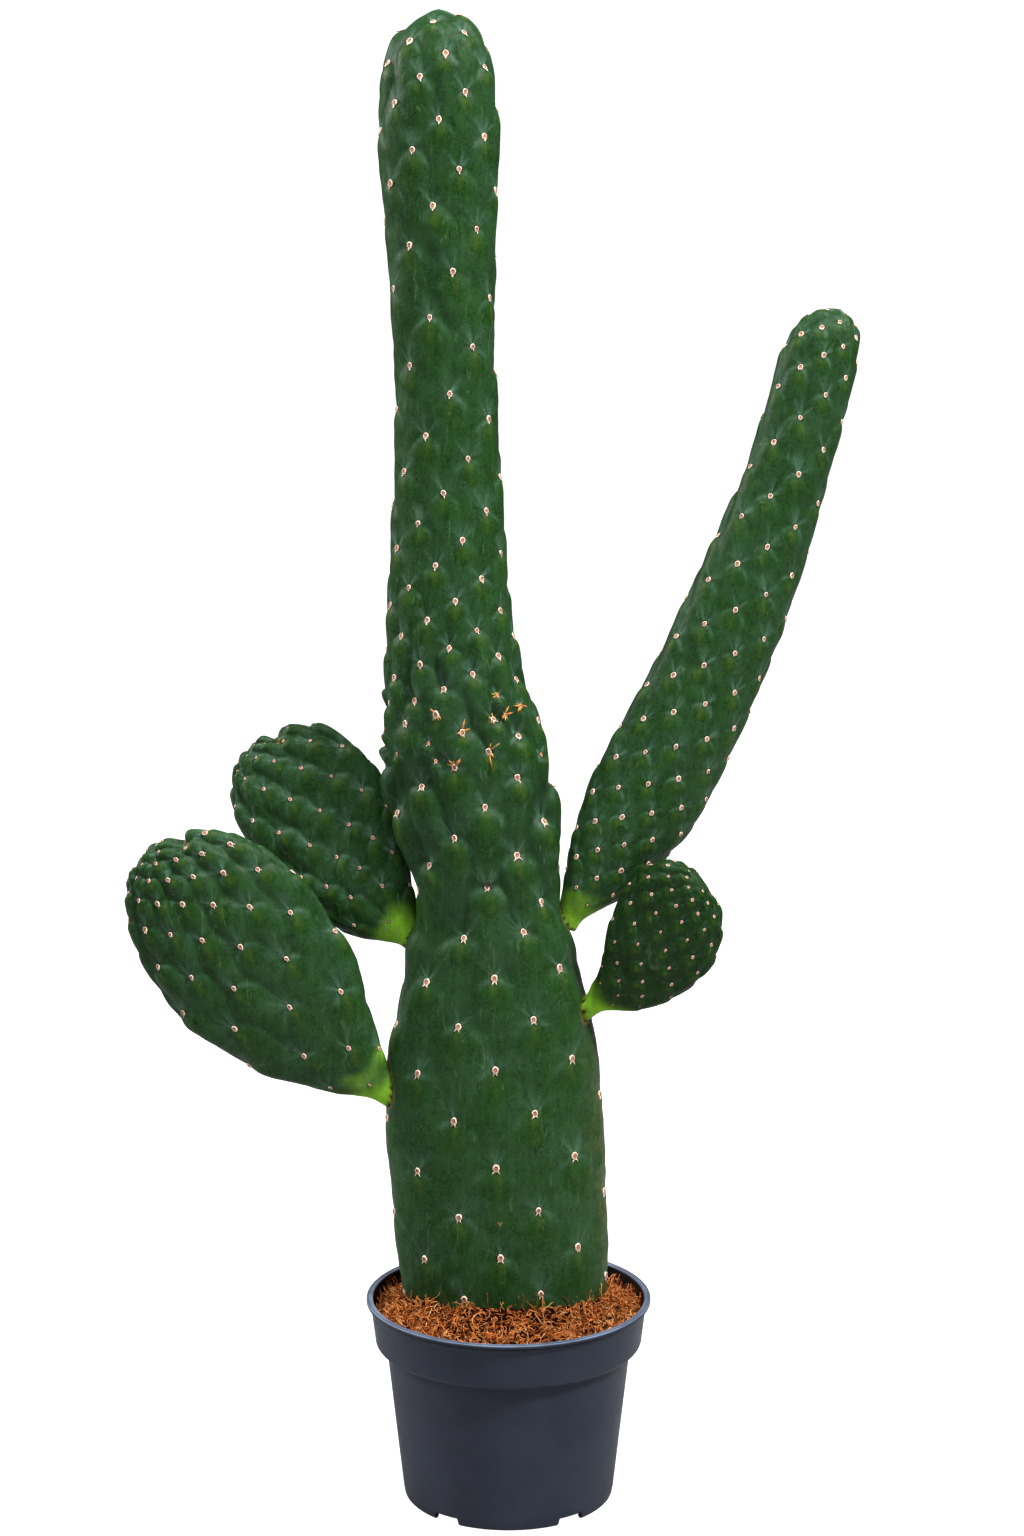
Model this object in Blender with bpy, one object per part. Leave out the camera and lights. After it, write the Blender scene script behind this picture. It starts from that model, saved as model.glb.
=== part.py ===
"""A prickly pear cactus that stands in a round nursery pot, at its real size.

Metres, +Z up. The origin is the middle of the pot's flat underside, and the plant's face looks
along -Y. Every green piece is a stem of elliptic sections. Its areoles sit on a spiral, each on
its own tubercle, and each areole is a small raised cushion that carries a short spine.
"""
import math
import random

import bmesh
import bpy
import numpy as np
from mathutils import Vector
from mathutils.geometry import delaunay_2d_cdt

MM = 0.001
TURN = 2 * math.pi
GAP = 0.3 * MM

# Pot, driving sizes
POT_HEIGHT = 152.3 * MM
LIP_RADIUS = 105.0 * MM
LIP_WIDTH = 4.8 * MM
LIP_THICK = 3.2 * MM
LIP_EDGE = 0.6 * MM
COLLAR_TOP_RADIUS = 102.4 * MM
COLLAR_FOOT_RADIUS = 97.9 * MM
COLLAR_HEIGHT = 36.5 * MM
COLLAR_EDGE = 5.0 * MM      # radius of the collar's rounded lower edge
BODY_TOP_RADIUS = 90.4 * MM
BODY_FOOT_RADIUS = 77.5 * MM
WALL = 1.8 * MM
EDGE = 1.2 * MM
FLOOR_UNDERSIDE = 6.0 * MM
FOOT_RING_WIDTH = 4.0 * MM
BOSS_RADIUS = 20.0 * MM
POT_SIDES = 50
NOTCH_COUNT = 5
NOTCH_WIDTH = 21.0 * MM
NOTCH_HEIGHT = 5.6 * MM
NOTCH_FIRST_ANGLE = math.radians(-54)
DRAIN_RADIUS = 6.0 * MM
DRAIN_CIRCLE = 58.0 * MM

# Soil
SOIL_TOP = 139.5 * MM
SOIL_RELIEF = 1.6 * MM
SOIL_RINGS = 9
SOIL_SIDES = 48

# Skin of the green pieces
CUSHION_SIDES = 4
CUSHION_HEIGHT = 0.5      # of its radius
CUSHION_LIMIT = 0.3       # of the distance to the next areole
CLOSEST = 0.66            # of the mean distance between areoles
VALLEY_DEPTH = 0.7        # of the relief
SPINE_ROOT = 0.6 * MM
SPINE_OUT = 0.72          # of its length, away from the skin
SPINE_DOWN = 0.62         # of its length, down along the skin
SPINE_UNRIPE = 0.15       # of the full length, at a plain foot
BARE_FOOT = 32.0 * MM
RIM_MARGIN = 3.0 * MM
SEAT_MARGIN = 10.0 * MM
SEAT_FLARE = 0.12         # extra room round a seat, for each unit of its height
SEAT_LEVELS = (0, 6, 12, 18, 24, 30)
TOP_RING = 7
TOP_SHARE = 0.16          # of the widest way round, where the tip's last ring sits
PLUG_RING = 20

# A stem's rows: height along its axis, shift of its middle, half width, half thickness, in mm.
# Its crowd rows: height along its axis, skin area that one areole has there, in square mm.
# Its spirals: height of the first areole, its place and the step to the next, in turns.
TRUNK = dict(
    base=(0, 0, 0), lean=0, tilt=0, turn=0,
    rows=(
        (70, -2, 61, 31), (146, -2.5, 71, 36), (180, -4, 76, 38), (230, -7, 78.5, 39),
        (290, -10.5, 79.5, 39.5), (340, -10.5, 76.5, 38.5), (380, -10.5, 70, 37), (403, -12, 65, 36),
        (420, -12.5, 62, 35.5), (432, -12, 56, 34.5), (443, -13.5, 51.5, 33.5), (462, -15.5, 51.5, 33),
        (500, -21.5, 58.5, 33.5), (522, -26, 60.7, 34), (545, -28.7, 60.3, 34), (585, -34, 54, 34),
        (620, -39, 47.5, 32.5),
        (665, -42, 43.5, 30.5), (740, -42.5, 38.5, 28.5), (830, -43.5, 35.5, 27), (900, -46, 36.5, 27.5),
        (965, -47.5, 40.5, 28.5), (1015, -48.5, 40.5, 28.5), (1045, -48.5, 36, 26),
        (1066, -47.5, 25, 19.5), (1080, -47.5, 0, 0),
    ),
    crowd=((150, 1610), (280, 2260), (420, 1600), (450, 1150), (530, 1435), (566, 540), (598, 420),
           (620, 577), (650, 578), (720, 829), (850, 1350), (960, 1070), (1030, 718), (1062, 497),
           (1080, 350)),
    spirals=((156.8, 0.4849, -0.15406), (442.4, 0.9511, 0.3824), (599.1, 0.6015, 0.38261)),
    relief=2.4, cushion=3.2, spine=4.8, plug=146, first_areole=5, foot_sides=40, notch=None, seed=3,
)
RIGHT_ARM = dict(
    base=(41.7, 4, 440.7), lean=24, tilt=2, turn=0,
    rows=(
        (-9, 3, 8.5, 7), (0, 3.5, 9.5, 8), (10, 5.4, 14, 11), (25, 9, 21, 14.5), (45, 11, 28.3, 17.5),
        (70, 14.5, 35.8, 20.5), (100, 17.5, 40.8, 22.5), (140, 20, 40.5, 23.5), (200, 21.7, 38.3, 24),
        (280, 19.5, 34.7, 23.5), (350, 14, 29.8, 22), (400, 6.5, 28.8, 21.5), (430, 1.5, 27.8, 20.5),
        (452, -0.6, 24.3, 18), (467, -1, 16.5, 12.5), (475, -1, 0, 0),
    ),
    crowd=((20, 312), (60, 402), (120, 497), (250, 702), (400, 737), (450, 276), (473, 168)),
    spirals=((14.0, 0.2059, 0.38271),),
    relief=1.5, cushion=2.5, spine=5.0, plug=0, first_areole=11, foot_sides=PLUG_RING, notch=None, seed=5,
)
RIGHT_PAD = dict(
    base=(59.6, -12, 381.5), lean=48, tilt=-14, turn=0,
    rows=(
        (-13, 4, 7.5, 6), (0, 4, 8.5, 6.5), (8, 4.7, 12.9, 8), (20, 7, 19.8, 9.5), (40, 3.4, 31.5, 11.5),
        (60, -1.7, 39.8, 12.5), (80, -6.3, 42.8, 12.5), (100, -11.5, 39.8, 12), (113, -15, 31.5, 10.5),
        (121, -17.5, 20.5, 7.5), (126, -20, 0, 0),
    ),
    crowd=((10, 141), (50, 317), (90, 233), (118, 134), (125, 123)),
    spirals=((13.0, 0.1790, -0.38802),),
    relief=0.9, cushion=1.8, spine=3.6, plug=0, first_areole=11, foot_sides=PLUG_RING, notch=None, seed=7,
)
LEFT_UPPER_PAD = dict(
    base=(-69.9, 6, 424.4), lean=-42, tilt=14, turn=0,
    rows=(
        (-9, -1.5, 8.5, 6.5), (0, -1.5, 10, 7), (10, -2.6, 16.5, 9), (25, -4.6, 26.8, 11),
        (45, -3.6, 38.4, 13), (70, 0.8, 47.3, 14.5), (100, 4.3, 53.2, 15), (125, 5.2, 55, 15),
        (151, 5.2, 48, 13.5), (167, 4.6, 38, 12), (178, 3, 21.5, 8), (184, 2, 0, 0),
    ),
    crowd=((10, 907), (60, 409), (110, 681), (160, 442), (181, 77)),
    spirals=((17.3, 0.2625, 0.38131),),
    relief=1.8, cushion=2.4, spine=4.5, plug=0, first_areole=11, foot_sides=PLUG_RING,
    notch=(4, 9, 7), seed=11,
)
LEFT_LOWER_PAD = dict(
    base=(-89, -8, 316.6), lean=-46, tilt=-9, turn=0,
    rows=(
        (-12, -3.5, 9.5, 7), (0, -4, 11.5, 7.5), (10, -4.7, 16.5, 9), (25, -5.8, 25, 11),
        (45, -5, 36, 13.5), (75, -1.7, 52.5, 15.5), (100, 1, 60, 16.5), (140, 3.8, 67, 17),
        (175, 8.5, 64.5, 16.5), (200, 12, 58, 15.5), (220, 13.5, 48, 14), (236, 13.5, 34, 11.5),
        (246, 12, 18.5, 8), (250.5, 11, 0, 0),
    ),
    crowd=((10, 591), (80, 1877), (150, 988), (210, 439), (240, 194), (250, 120)),
    spirals=((-4, 0.5052, 0.38307),),
    relief=2.0, cushion=2.7, spine=5.0, plug=0, first_areole=11, foot_sides=PLUG_RING,
    notch=(9, 9, 7), seed=13,
)
PADS = {
    "right_arm": RIGHT_ARM,
    "right_pad": RIGHT_PAD,
    "left_upper_pad": LEFT_UPPER_PAD,
    "left_lower_pad": LEFT_LOWER_PAD,
}

# Material: colour, roughness, metallic
SKIN = ("waxy_green_skin", (0.030, 0.105, 0.035), 0.55, 0.0)
YOUNG_SKIN = ("young_green_skin", (0.040, 0.125, 0.040), 0.52, 0.0)
PLASTIC = ("anthracite_plastic", (0.035, 0.042, 0.055), 0.45, 0.0)
COIR = ("coconut_fibre", (0.30, 0.115, 0.045), 0.95, 0.0)


def clear_scene():
    """Remove every object that the file starts with."""
    for thing in list(bpy.data.objects):
        bpy.data.objects.remove(thing, do_unlink=True)


def material(name, colour, roughness, metallic):
    """A Principled material with the given look."""
    made = bpy.data.materials.new(name)
    made.use_nodes = True
    shader = made.node_tree.nodes["Principled BSDF"]
    shader.inputs["Base Color"].default_value = (*colour, 1.0)
    shader.inputs["Roughness"].default_value = roughness
    shader.inputs["Metallic"].default_value = metallic
    return made


def object_from(name, points, faces, finish=None):
    """A closed mesh object whose faces point out."""
    mesh = bpy.data.meshes.new(name)
    mesh.from_pydata([tuple(point) for point in points], [], [tuple(face) for face in faces])
    shell = bmesh.new()
    shell.from_mesh(mesh)
    bmesh.ops.recalc_face_normals(shell, faces=shell.faces)
    shell.to_mesh(mesh)
    shell.free()
    thing = bpy.data.objects.new(name, mesh)
    bpy.context.collection.objects.link(thing)
    if finish:
        mesh.materials.append(finish)
    return thing


def helper(thing):
    """Mark an object as a cutter, which isn't part of the model."""
    thing.hide_render = True
    thing.display_type = "WIRE"
    return thing


def cut(thing, cutter):
    """Take the cutter's shape away from the object."""
    step = thing.modifiers.new("cut_" + cutter.name, "BOOLEAN")
    step.operation = "DIFFERENCE"
    step.object = helper(cutter)


def smooth_rows(rows, steps=14):
    """A smooth curve through the rows. The last row is the tip, which closes square to the axis."""
    rows = np.array(rows, float) * MM
    before = 2 * rows[0] - rows[1]
    beyond = rows[-2] * (1, 1, -1, -1)
    knots = np.vstack([before, rows, beyond])
    reach = np.sqrt((np.diff(knots[:, (0, 2)], axis=0) ** 2).sum(1)) ** 0.5
    when = np.concatenate([[0], np.cumsum(reach)])
    pieces = []
    for i in range(1, len(knots) - 2):
        at = np.linspace(when[i], when[i + 1], steps, endpoint=False)[:, None]
        t0, t1, t2, t3 = when[i - 1:i + 3]
        a = knots[i - 1] + (knots[i] - knots[i - 1]) * (at - t0) / (t1 - t0)
        b = knots[i] + (knots[i + 1] - knots[i]) * (at - t1) / (t2 - t1)
        c = knots[i + 1] + (knots[i + 2] - knots[i + 1]) * (at - t2) / (t3 - t2)
        d = a + (b - a) * (at - t0) / (t2 - t0)
        e = b + (c - b) * (at - t1) / (t3 - t1)
        pieces.append(d + (e - d) * (at - t1) / (t2 - t1))
    return np.vstack(pieces + [rows[-1:]])


def ellipse_length(wide, thick):
    """The way round an ellipse with these half axes."""
    return math.pi * (3 * (wide + thick) - np.sqrt((3 * wide + thick) * (wide + 3 * thick)))


def ellipse_angle(share, aspect):
    """The angle at a share of the way round an ellipse, found on a table of its arc length."""
    angles = np.linspace(0, TURN, 181)
    middle = (angles[1:] + angles[:-1]) / 2
    found = []
    for part, ratio in zip(share % 1, aspect):
        step = np.hypot(np.sin(middle), ratio * np.cos(middle))
        arc = np.concatenate([[0], np.cumsum(step)])
        found.append(np.interp(part * arc[-1], arc, angles))
    return np.array(found)


class Stem:
    """A stem or pad in its own upright frame: width along X, face along -Y, axis along Z.

    A place on its skin is a share of the way round, from 0 at +X through the face at 0.25, and an
    unrolled height. The unrolled height grows with the distance along the skin divided by the
    way round there, so that the unrolled skin keeps its angles and a plain triangulation suits it.
    """

    def __init__(self, recipe):
        self.recipe = recipe
        self.rows = smooth_rows(recipe["rows"])
        along, shift, wide, thick = self.rows.T
        self.around = ellipse_length(wide, thick)
        self.sheet = self.around.max()
        step = np.hypot(np.diff(along), np.diff(wide))
        mean = (self.around[1:] + self.around[:-1]) / 2
        self.height = np.concatenate([[0], np.cumsum(step * self.sheet / mean)])
        crowd = np.array(recipe["crowd"], float) * (MM, MM * MM)
        area = np.interp(along, crowd[:, 0], crowd[:, 1])
        self.spacing = np.sqrt(area)
        mean_area = (area[1:] + area[:-1]) / 2
        self.count = np.concatenate([[0], np.cumsum(step * mean / mean_area)])

    def height_at(self, along):
        """The unrolled height at a height along the axis."""
        return np.interp(along, self.rows[:, 0], self.height)

    def place(self, share, height):
        """Points of the bare skin."""
        along, shift, wide, thick = (np.interp(height, self.height, row) for row in self.rows.T)
        angle = ellipse_angle(share, thick / np.maximum(wide, 1e-6))
        across = shift + wide * np.cos(angle)
        if self.recipe["notch"]:
            middle, spread, depth = (value * MM for value in self.recipe["notch"])
            upper_half = along > self.rows[-1, 0] / 2
            near_tip = upper_half * np.clip(1 - wide / self.rows[:, 2].max(), 0, 1)
            along = along - depth * near_tip * np.exp(-((across - middle) / spread) ** 2)
        return np.stack([across, -thick * np.sin(angle), along], axis=1)

    def frame(self, share, height):
        """Points of the bare skin, the way out of it and the way up it."""
        small = 0.2 * MM
        here = self.place(share, height)
        aside = small / self.sheet
        round_it = self.place(share + aside, height) - self.place(share - aside, height)
        up = self.place(share, height + small) - self.place(share, height - small)
        up /= np.linalg.norm(up, axis=1)[:, None]
        out = np.cross(up, round_it)
        out /= np.linalg.norm(out, axis=1)[:, None]
        return here, out, up

    def ripeness(self, height):
        """How far the relief is grown: from none at the plain foot to full one bare foot higher."""
        along = np.interp(height, self.height, self.rows[:, 0])
        share = np.clip((along - self.recipe["plug"] * MM) / BARE_FOOT, 0, 1)
        return share * share * (3 - 2 * share)

    def areoles(self):
        """Shares and unrolled heights of the areoles, on the recipe's spirals, none too close."""
        spirals = self.recipe["spirals"]
        starts = [np.interp(start * MM, self.rows[:, 0], self.count) for start, first, step in spirals]
        lowest = self.height_at((self.recipe["plug"] + self.recipe["first_areole"]) * MM)
        top = self.height[self.top_row()]
        last = top - self.spacing_on_sheet(top) / 2
        chosen = []
        for (_, first, step), begin, end in zip(spirals, starts, starts[1:] + [self.count[-1]]):
            for number in range(math.ceil(end - begin)):
                height = np.interp(begin + number, self.count, self.height)
                share = (first + step * number) % 1
                if lowest < height < last and self.is_clear(share, height, chosen):
                    chosen.append((share, height))
        return np.array(chosen)

    def spacing_on_sheet(self, height):
        """The mean distance between areoles, on the unrolled skin."""
        real = np.interp(height, self.height, self.spacing)
        return real * self.sheet / np.interp(height, self.height, self.around)

    def is_clear(self, share, height, others):
        """Whether no other areole is closer than two thirds of the mean distance."""
        if not others:
            return True
        other = np.array(others[-40:])
        across = (other[:, 0] - share + 0.5) % 1 - 0.5
        away = np.hypot(across * self.sheet, other[:, 1] - height)
        return away.min() > CLOSEST * self.spacing_on_sheet(height)

    def top_row(self):
        """The row whose ring the tip's last faces start from."""
        limit = TOP_SHARE * self.around.max()
        return int(np.flatnonzero(self.around > limit)[-1])


def triangulate(points, width):
    """Triangles of points on a sheet that closes on itself after its width, as index triples."""
    points = np.asarray(points)
    copies = np.vstack([points + (shift * width, 0) for shift in (-1, 0, 1)])
    source = np.tile(np.arange(len(points)), 3)
    flat = [Vector(point) for point in copies]
    _, _, faces, origin, _, _ = delaunay_2d_cdt(flat, [], [], 0, 1e-9)
    corner = np.array([places[0] for places in origin])
    faces = corner[np.array([list(face) for face in faces])]
    middle = copies[faces, 0].mean(axis=1)
    kept = (middle >= 0) & (middle < width)
    return source[faces[kept]]


def valley_points(areoles, rims, width):
    """The places furthest from the areoles: the middles of the circles through three of them."""
    every = np.vstack([areoles, rims])
    found = []
    for face in triangulate(every, width):
        if max(face) >= len(areoles):
            continue
        a, b, c = every[face]
        b = b + (round((a[0] - b[0]) / width) * width, 0)
        c = c + (round((a[0] - c[0]) / width) * width, 0)
        (bx, by), (cx, cy) = b - a, c - a
        twice = 2 * (bx * cy - by * cx)
        ux = (cy * (bx * bx + by * by) - by * (cx * cx + cy * cy)) / twice
        uy = (bx * (cx * cx + cy * cy) - cx * (bx * bx + by * by)) / twice
        place = (a + (ux, uy) + (a + b + c) / 3) / 2
        found.append(((place[0] / width) % 1 * width, place[1]))
    return np.array(found)


class Skin:
    """Gathers a stem's points on the unrolled sheet, with how far each is lifted off the skin."""

    def __init__(self, stem):
        self.stem = stem
        self.flat = []
        self.lift = []

    def add(self, share, height, lift):
        """Add points and return their numbers."""
        share, height = np.broadcast_arrays(np.atleast_1d(share) % 1, np.atleast_1d(height))
        first = len(self.flat)
        self.flat += list(zip(share * self.stem.sheet, height))
        self.lift += list(np.broadcast_to(lift, share.shape))
        return list(range(first, len(self.flat)))


def ring_shares(sides, offset=0.0):
    """Even places round a stem."""
    return (np.arange(sides) + offset) / sides


def add_rings(skin, recipe):
    """The plain rings of the foot and the tip, which carry no relief."""
    stem = skin.stem
    foot = skin.add(ring_shares(recipe["foot_sides"]), stem.height[0], 0.0)
    skin.add(ring_shares(recipe["foot_sides"]), stem.height_at(recipe["plug"] * MM), 0.0)
    top = skin.add(ring_shares(TOP_RING), stem.height[stem.top_row()], 0.0)
    return foot, top


def add_areoles(skin, recipe, areoles):
    """On each areole a raised cushion of few sides, with the three-sided root of a spine."""
    stem = skin.stem
    roots = []
    draw = random.Random(recipe["seed"])
    for share, height in areoles:
        relief = recipe["relief"] * MM * stem.ripeness(height)
        spacing = stem.spacing_on_sheet(height)
        scale = stem.sheet / np.interp(height, stem.height, stem.around)
        radius = min(recipe["cushion"] * MM * scale, CUSHION_LIMIT * spacing)
        root = SPINE_ROOT * scale
        turn = draw.random()
        rim = ring_shares(CUSHION_SIDES, turn) * TURN
        skin.add(share + radius * np.cos(rim) / stem.sheet, height + radius * np.sin(rim), relief)
        three = ring_shares(3, turn) * TURN
        top = relief + CUSHION_HEIGHT * recipe["cushion"] * MM
        corners = skin.add(share + root * np.cos(three) / stem.sheet, height + root * np.sin(three), top)
        roots.append(corners)
    return roots


def clear_of_seats(stem, areoles):
    """The trunk's areoles that no pad grew from."""
    here, _, _ = stem.frame(areoles[:, 0], areoles[:, 1])
    kept = np.ones(len(areoles), bool)
    for pad in PADS.values():
        seat = np.array(pad["base"]) * MM
        foot_half_width = pad["rows"][1][2] * MM
        kept &= np.linalg.norm(here - seat, axis=1) > foot_half_width + SEAT_MARGIN
    return areoles[kept]


def spine_tips(stem, recipe, areoles):
    """The ends of the spines, which point out and down along the stem."""
    here, out, up = stem.frame(areoles[:, 0], areoles[:, 1])
    ripe = stem.ripeness(areoles[:, 1])[:, None]
    lift = (recipe["relief"] * ripe + CUSHION_HEIGHT * recipe["cushion"]) * MM
    length = recipe["spine"] * MM * (SPINE_UNRIPE + (1 - SPINE_UNRIPE) * ripe)
    return here + out * (lift + SPINE_OUT * length) - up * (SPINE_DOWN * length)


def stem_mesh(recipe):
    """Points and faces of a stem with its tubercles, cushions and spines, as one closed skin."""
    stem = Stem(recipe)
    skin = Skin(stem)
    foot, top = add_rings(skin, recipe)
    areoles = stem.areoles()
    if recipe is TRUNK:
        areoles = clear_of_seats(stem, areoles)
    on_sheet = areoles * (stem.sheet, 1)
    rims = np.array([skin.flat[i] for i in range(foot[-1] + 1, top[-1] + 1)])
    valleys = valley_points(on_sheet, rims, stem.sheet)
    low, high = rims[:, 1].min(), rims[:, 1].max()
    inside = (valleys[:, 1] > low + RIM_MARGIN) & (valleys[:, 1] < high - RIM_MARGIN)
    valleys = valleys[inside]
    depth = VALLEY_DEPTH * recipe["relief"] * MM * stem.ripeness(valleys[:, 1])
    skin.add(valleys[:, 0] / stem.sheet, valleys[:, 1], -depth)
    roots = add_areoles(skin, recipe, areoles)
    flat = np.array(skin.flat)
    here, out, _ = stem.frame(flat[:, 0] / stem.sheet, flat[:, 1])
    points = list(here + out * np.array(skin.lift)[:, None])
    faces = [tuple(face) for face in triangulate(flat, stem.sheet)]
    points += list(spine_tips(stem, recipe, areoles))
    faces = raise_spines(faces, roots, len(flat))
    pole = len(points)
    points.append(np.array([stem.rows[-1, 1], 0.0, stem.rows[-1, 0]]))
    faces += [(top[i], top[(i + 1) % len(top)], pole) for i in range(len(top))]
    faces.append(tuple(foot))
    return points, faces


def raise_spines(faces, roots, first_tip):
    """Put three sides up to the spine's end in place of each root's face."""
    tip_of = {frozenset(root): first_tip + number for number, root in enumerate(roots)}
    made = []
    for a, b, c in faces:
        tip = tip_of.pop(frozenset((a, b, c)), None)
        if tip is None:
            made.append((a, b, c))
        else:
            made += [(a, b, tip), (b, c, tip), (c, a, tip)]
    if tip_of:
        raise ValueError(f"{len(tip_of)} spine roots have no face of their own")
    return made


def set_up(thing, recipe):
    """Put a piece where it grows: turned on its axis, tilted back and leaned sideways."""
    thing.location = Vector(recipe["base"]) * MM
    thing.rotation_mode = "ZXY"
    thing.rotation_euler = tuple(math.radians(recipe[key]) for key in ("tilt", "lean", "turn"))
    thing.rotation_euler.x *= -1


def section(stem, along, spread, sides):
    """One section of a stem as a ring of points, larger all round by spread."""
    shares = ring_shares(sides)
    row = [np.interp(along, stem.rows[:, 0], column) for column in stem.rows.T]
    angle = ellipse_angle(shares, np.full(sides, row[3] / row[2]))
    across = row[1] + (row[2] + spread) * np.cos(angle)
    return np.stack([across, -(row[3] + spread) * np.sin(angle), np.full(sides, along)], axis=1)


def socket_cutter(name, recipe, levels):
    """The foot of a stem, larger by the gap and flared, which cuts its seat in what carries it."""
    stem = Stem(recipe)
    sides = recipe["foot_sides"]
    rings = []
    for level in levels:
        flare = SEAT_FLARE * max(level - recipe["plug"], 0) * MM
        rings.append(section(stem, level * MM, GAP + flare, sides))
    rings[0][:, 2] -= GAP
    points = np.vstack(rings)
    faces = []
    for low in range(0, (len(rings) - 1) * sides, sides):
        high = low + sides
        for i in range(sides):
            j = (i + 1) % sides
            faces.append((low + i, low + j, high + j, high + i))
    faces.append(tuple(range(sides)))
    faces.append(tuple(range((len(rings) - 1) * sides, len(rings) * sides)))
    cutter = object_from(name, points, faces)
    set_up(cutter, recipe)
    return cutter


def make_trunk(finish):
    """The trunk, with a seat cut for each pad that grows from it."""
    points, faces = stem_mesh(TRUNK)
    trunk = object_from("trunk", points, faces, finish)
    set_up(trunk, TRUNK)
    for name, recipe in PADS.items():
        foot = recipe["rows"][0][0]
        cut(trunk, socket_cutter(name + "_seat", recipe, (foot, *SEAT_LEVELS)))
    return trunk


def make_pads(finish, young_finish):
    """The arm and the pads."""
    for name, recipe in PADS.items():
        points, faces = stem_mesh(recipe)
        pad = object_from(name, points, faces, young_finish if recipe is RIGHT_PAD else finish)
        set_up(pad, recipe)


def body_radius(z):
    """Outer radius of the pot's tapered body at a height."""
    share = z / (POT_HEIGHT - COLLAR_HEIGHT)
    return BODY_FOOT_RADIUS + (BODY_TOP_RADIUS - BODY_FOOT_RADIUS) * share


def collar_radius(z):
    """Outer radius of the pot's collar at a height."""
    share = (z - POT_HEIGHT + COLLAR_HEIGHT) / COLLAR_HEIGHT
    return COLLAR_FOOT_RADIUS + (COLLAR_TOP_RADIUS - COLLAR_FOOT_RADIUS) * share


def collar_corner(radius):
    """Radii and heights along the rounded lower edge of the collar, from its foot to its side."""
    level = POT_HEIGHT - COLLAR_HEIGHT + COLLAR_EDGE
    middle = collar_radius(level) - COLLAR_EDGE
    return [
        (middle + radius * math.sin(angle), level - radius * math.cos(angle))
        for angle in np.radians((0, 30, 60, 90))
    ]


def revolve(name, profile, sides, finish=None):
    """A closed solid turned round Z. The profile starts and ends on the axis."""
    angles = ring_shares(sides) * TURN
    points = [(0.0, 0.0, profile[0][1])]
    for radius, z in profile[1:-1]:
        points += [(radius * math.cos(angle), radius * math.sin(angle), z) for angle in angles]
    points.append((0.0, 0.0, profile[-1][1]))
    last = len(points) - 1
    rings = len(profile) - 2
    faces = []
    for i in range(sides):
        j = (i + 1) % sides
        faces.append((0, 1 + j, 1 + i))
        for level in range(rings - 1):
            low = 1 + level * sides
            high = low + sides
            faces.append((low + i, low + j, high + j, high + i))
        faces.append((last, last - sides + i, last - sides + j))
    return object_from(name, points, faces, finish)


def pot_profile():
    """Underside, outside, lip and inside of the pot, from the axis back to the axis."""
    shoulder = POT_HEIGHT - COLLAR_HEIGHT
    lip_foot = POT_HEIGHT - LIP_THICK
    ring_inner = BODY_FOOT_RADIUS - FOOT_RING_WIDTH
    floor = FLOOR_UNDERSIDE + WALL
    inner_lip = LIP_RADIUS - LIP_WIDTH
    return [
        (0, 0), (BOSS_RADIUS, 0), (BOSS_RADIUS, FLOOR_UNDERSIDE), (ring_inner, FLOOR_UNDERSIDE),
        (ring_inner, 0), (BODY_FOOT_RADIUS - EDGE, 0), (body_radius(EDGE), EDGE),
        (body_radius(shoulder - EDGE), shoulder - EDGE), (BODY_TOP_RADIUS + EDGE, shoulder),
        *collar_corner(COLLAR_EDGE), (collar_radius(lip_foot), lip_foot), (LIP_RADIUS, lip_foot + LIP_EDGE),
        (LIP_RADIUS, POT_HEIGHT - LIP_EDGE), (LIP_RADIUS - LIP_EDGE, POT_HEIGHT), (inner_lip, POT_HEIGHT),
        (collar_radius(lip_foot) - WALL, lip_foot), *reversed(collar_corner(COLLAR_EDGE - WALL)),
        (BODY_TOP_RADIUS - WALL, shoulder + WALL - EDGE), (body_radius(floor) - WALL, floor), (0, floor),
    ]


def block(name, size, middle, angle):
    """A box cutter, turned about Z and set out from the axis."""
    shell = bmesh.new()
    bmesh.ops.create_cube(shell, size=1.0)
    bmesh.ops.scale(shell, vec=size, verts=shell.verts)
    mesh = bpy.data.meshes.new(name)
    shell.to_mesh(mesh)
    shell.free()
    thing = bpy.data.objects.new(name, mesh)
    bpy.context.collection.objects.link(thing)
    thing.location = (middle[0] * math.cos(angle), middle[0] * math.sin(angle), middle[1])
    thing.rotation_euler.z = angle
    return thing


def drain(name, angle):
    """A round cutter through the pot's floor."""
    shell = bmesh.new()
    bmesh.ops.create_cone(
        shell, cap_ends=True, segments=12, radius1=DRAIN_RADIUS, radius2=DRAIN_RADIUS, depth=4 * WALL)
    mesh = bpy.data.meshes.new(name)
    shell.to_mesh(mesh)
    shell.free()
    thing = bpy.data.objects.new(name, mesh)
    bpy.context.collection.objects.link(thing)
    middle = FLOOR_UNDERSIDE + WALL / 2
    thing.location = (DRAIN_CIRCLE * math.cos(angle), DRAIN_CIRCLE * math.sin(angle), middle)
    return thing


def make_pot(finish):
    """The pot, with notches through its foot ring and drain holes in its floor."""
    pot = revolve("pot", pot_profile(), POT_SIDES, finish)
    for number in range(NOTCH_COUNT):
        angle = NOTCH_FIRST_ANGLE + number * TURN / NOTCH_COUNT
        size = (4 * FOOT_RING_WIDTH, NOTCH_WIDTH, 2 * NOTCH_HEIGHT)
        cut(pot, block(f"notch_{number}", size, (BODY_FOOT_RADIUS, 0.0), angle))
        cut(pot, drain(f"drain_{number}", angle))
    pot.data.shade_smooth()
    pot.data.set_sharp_from_angle(angle=math.radians(32))
    return pot


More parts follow.
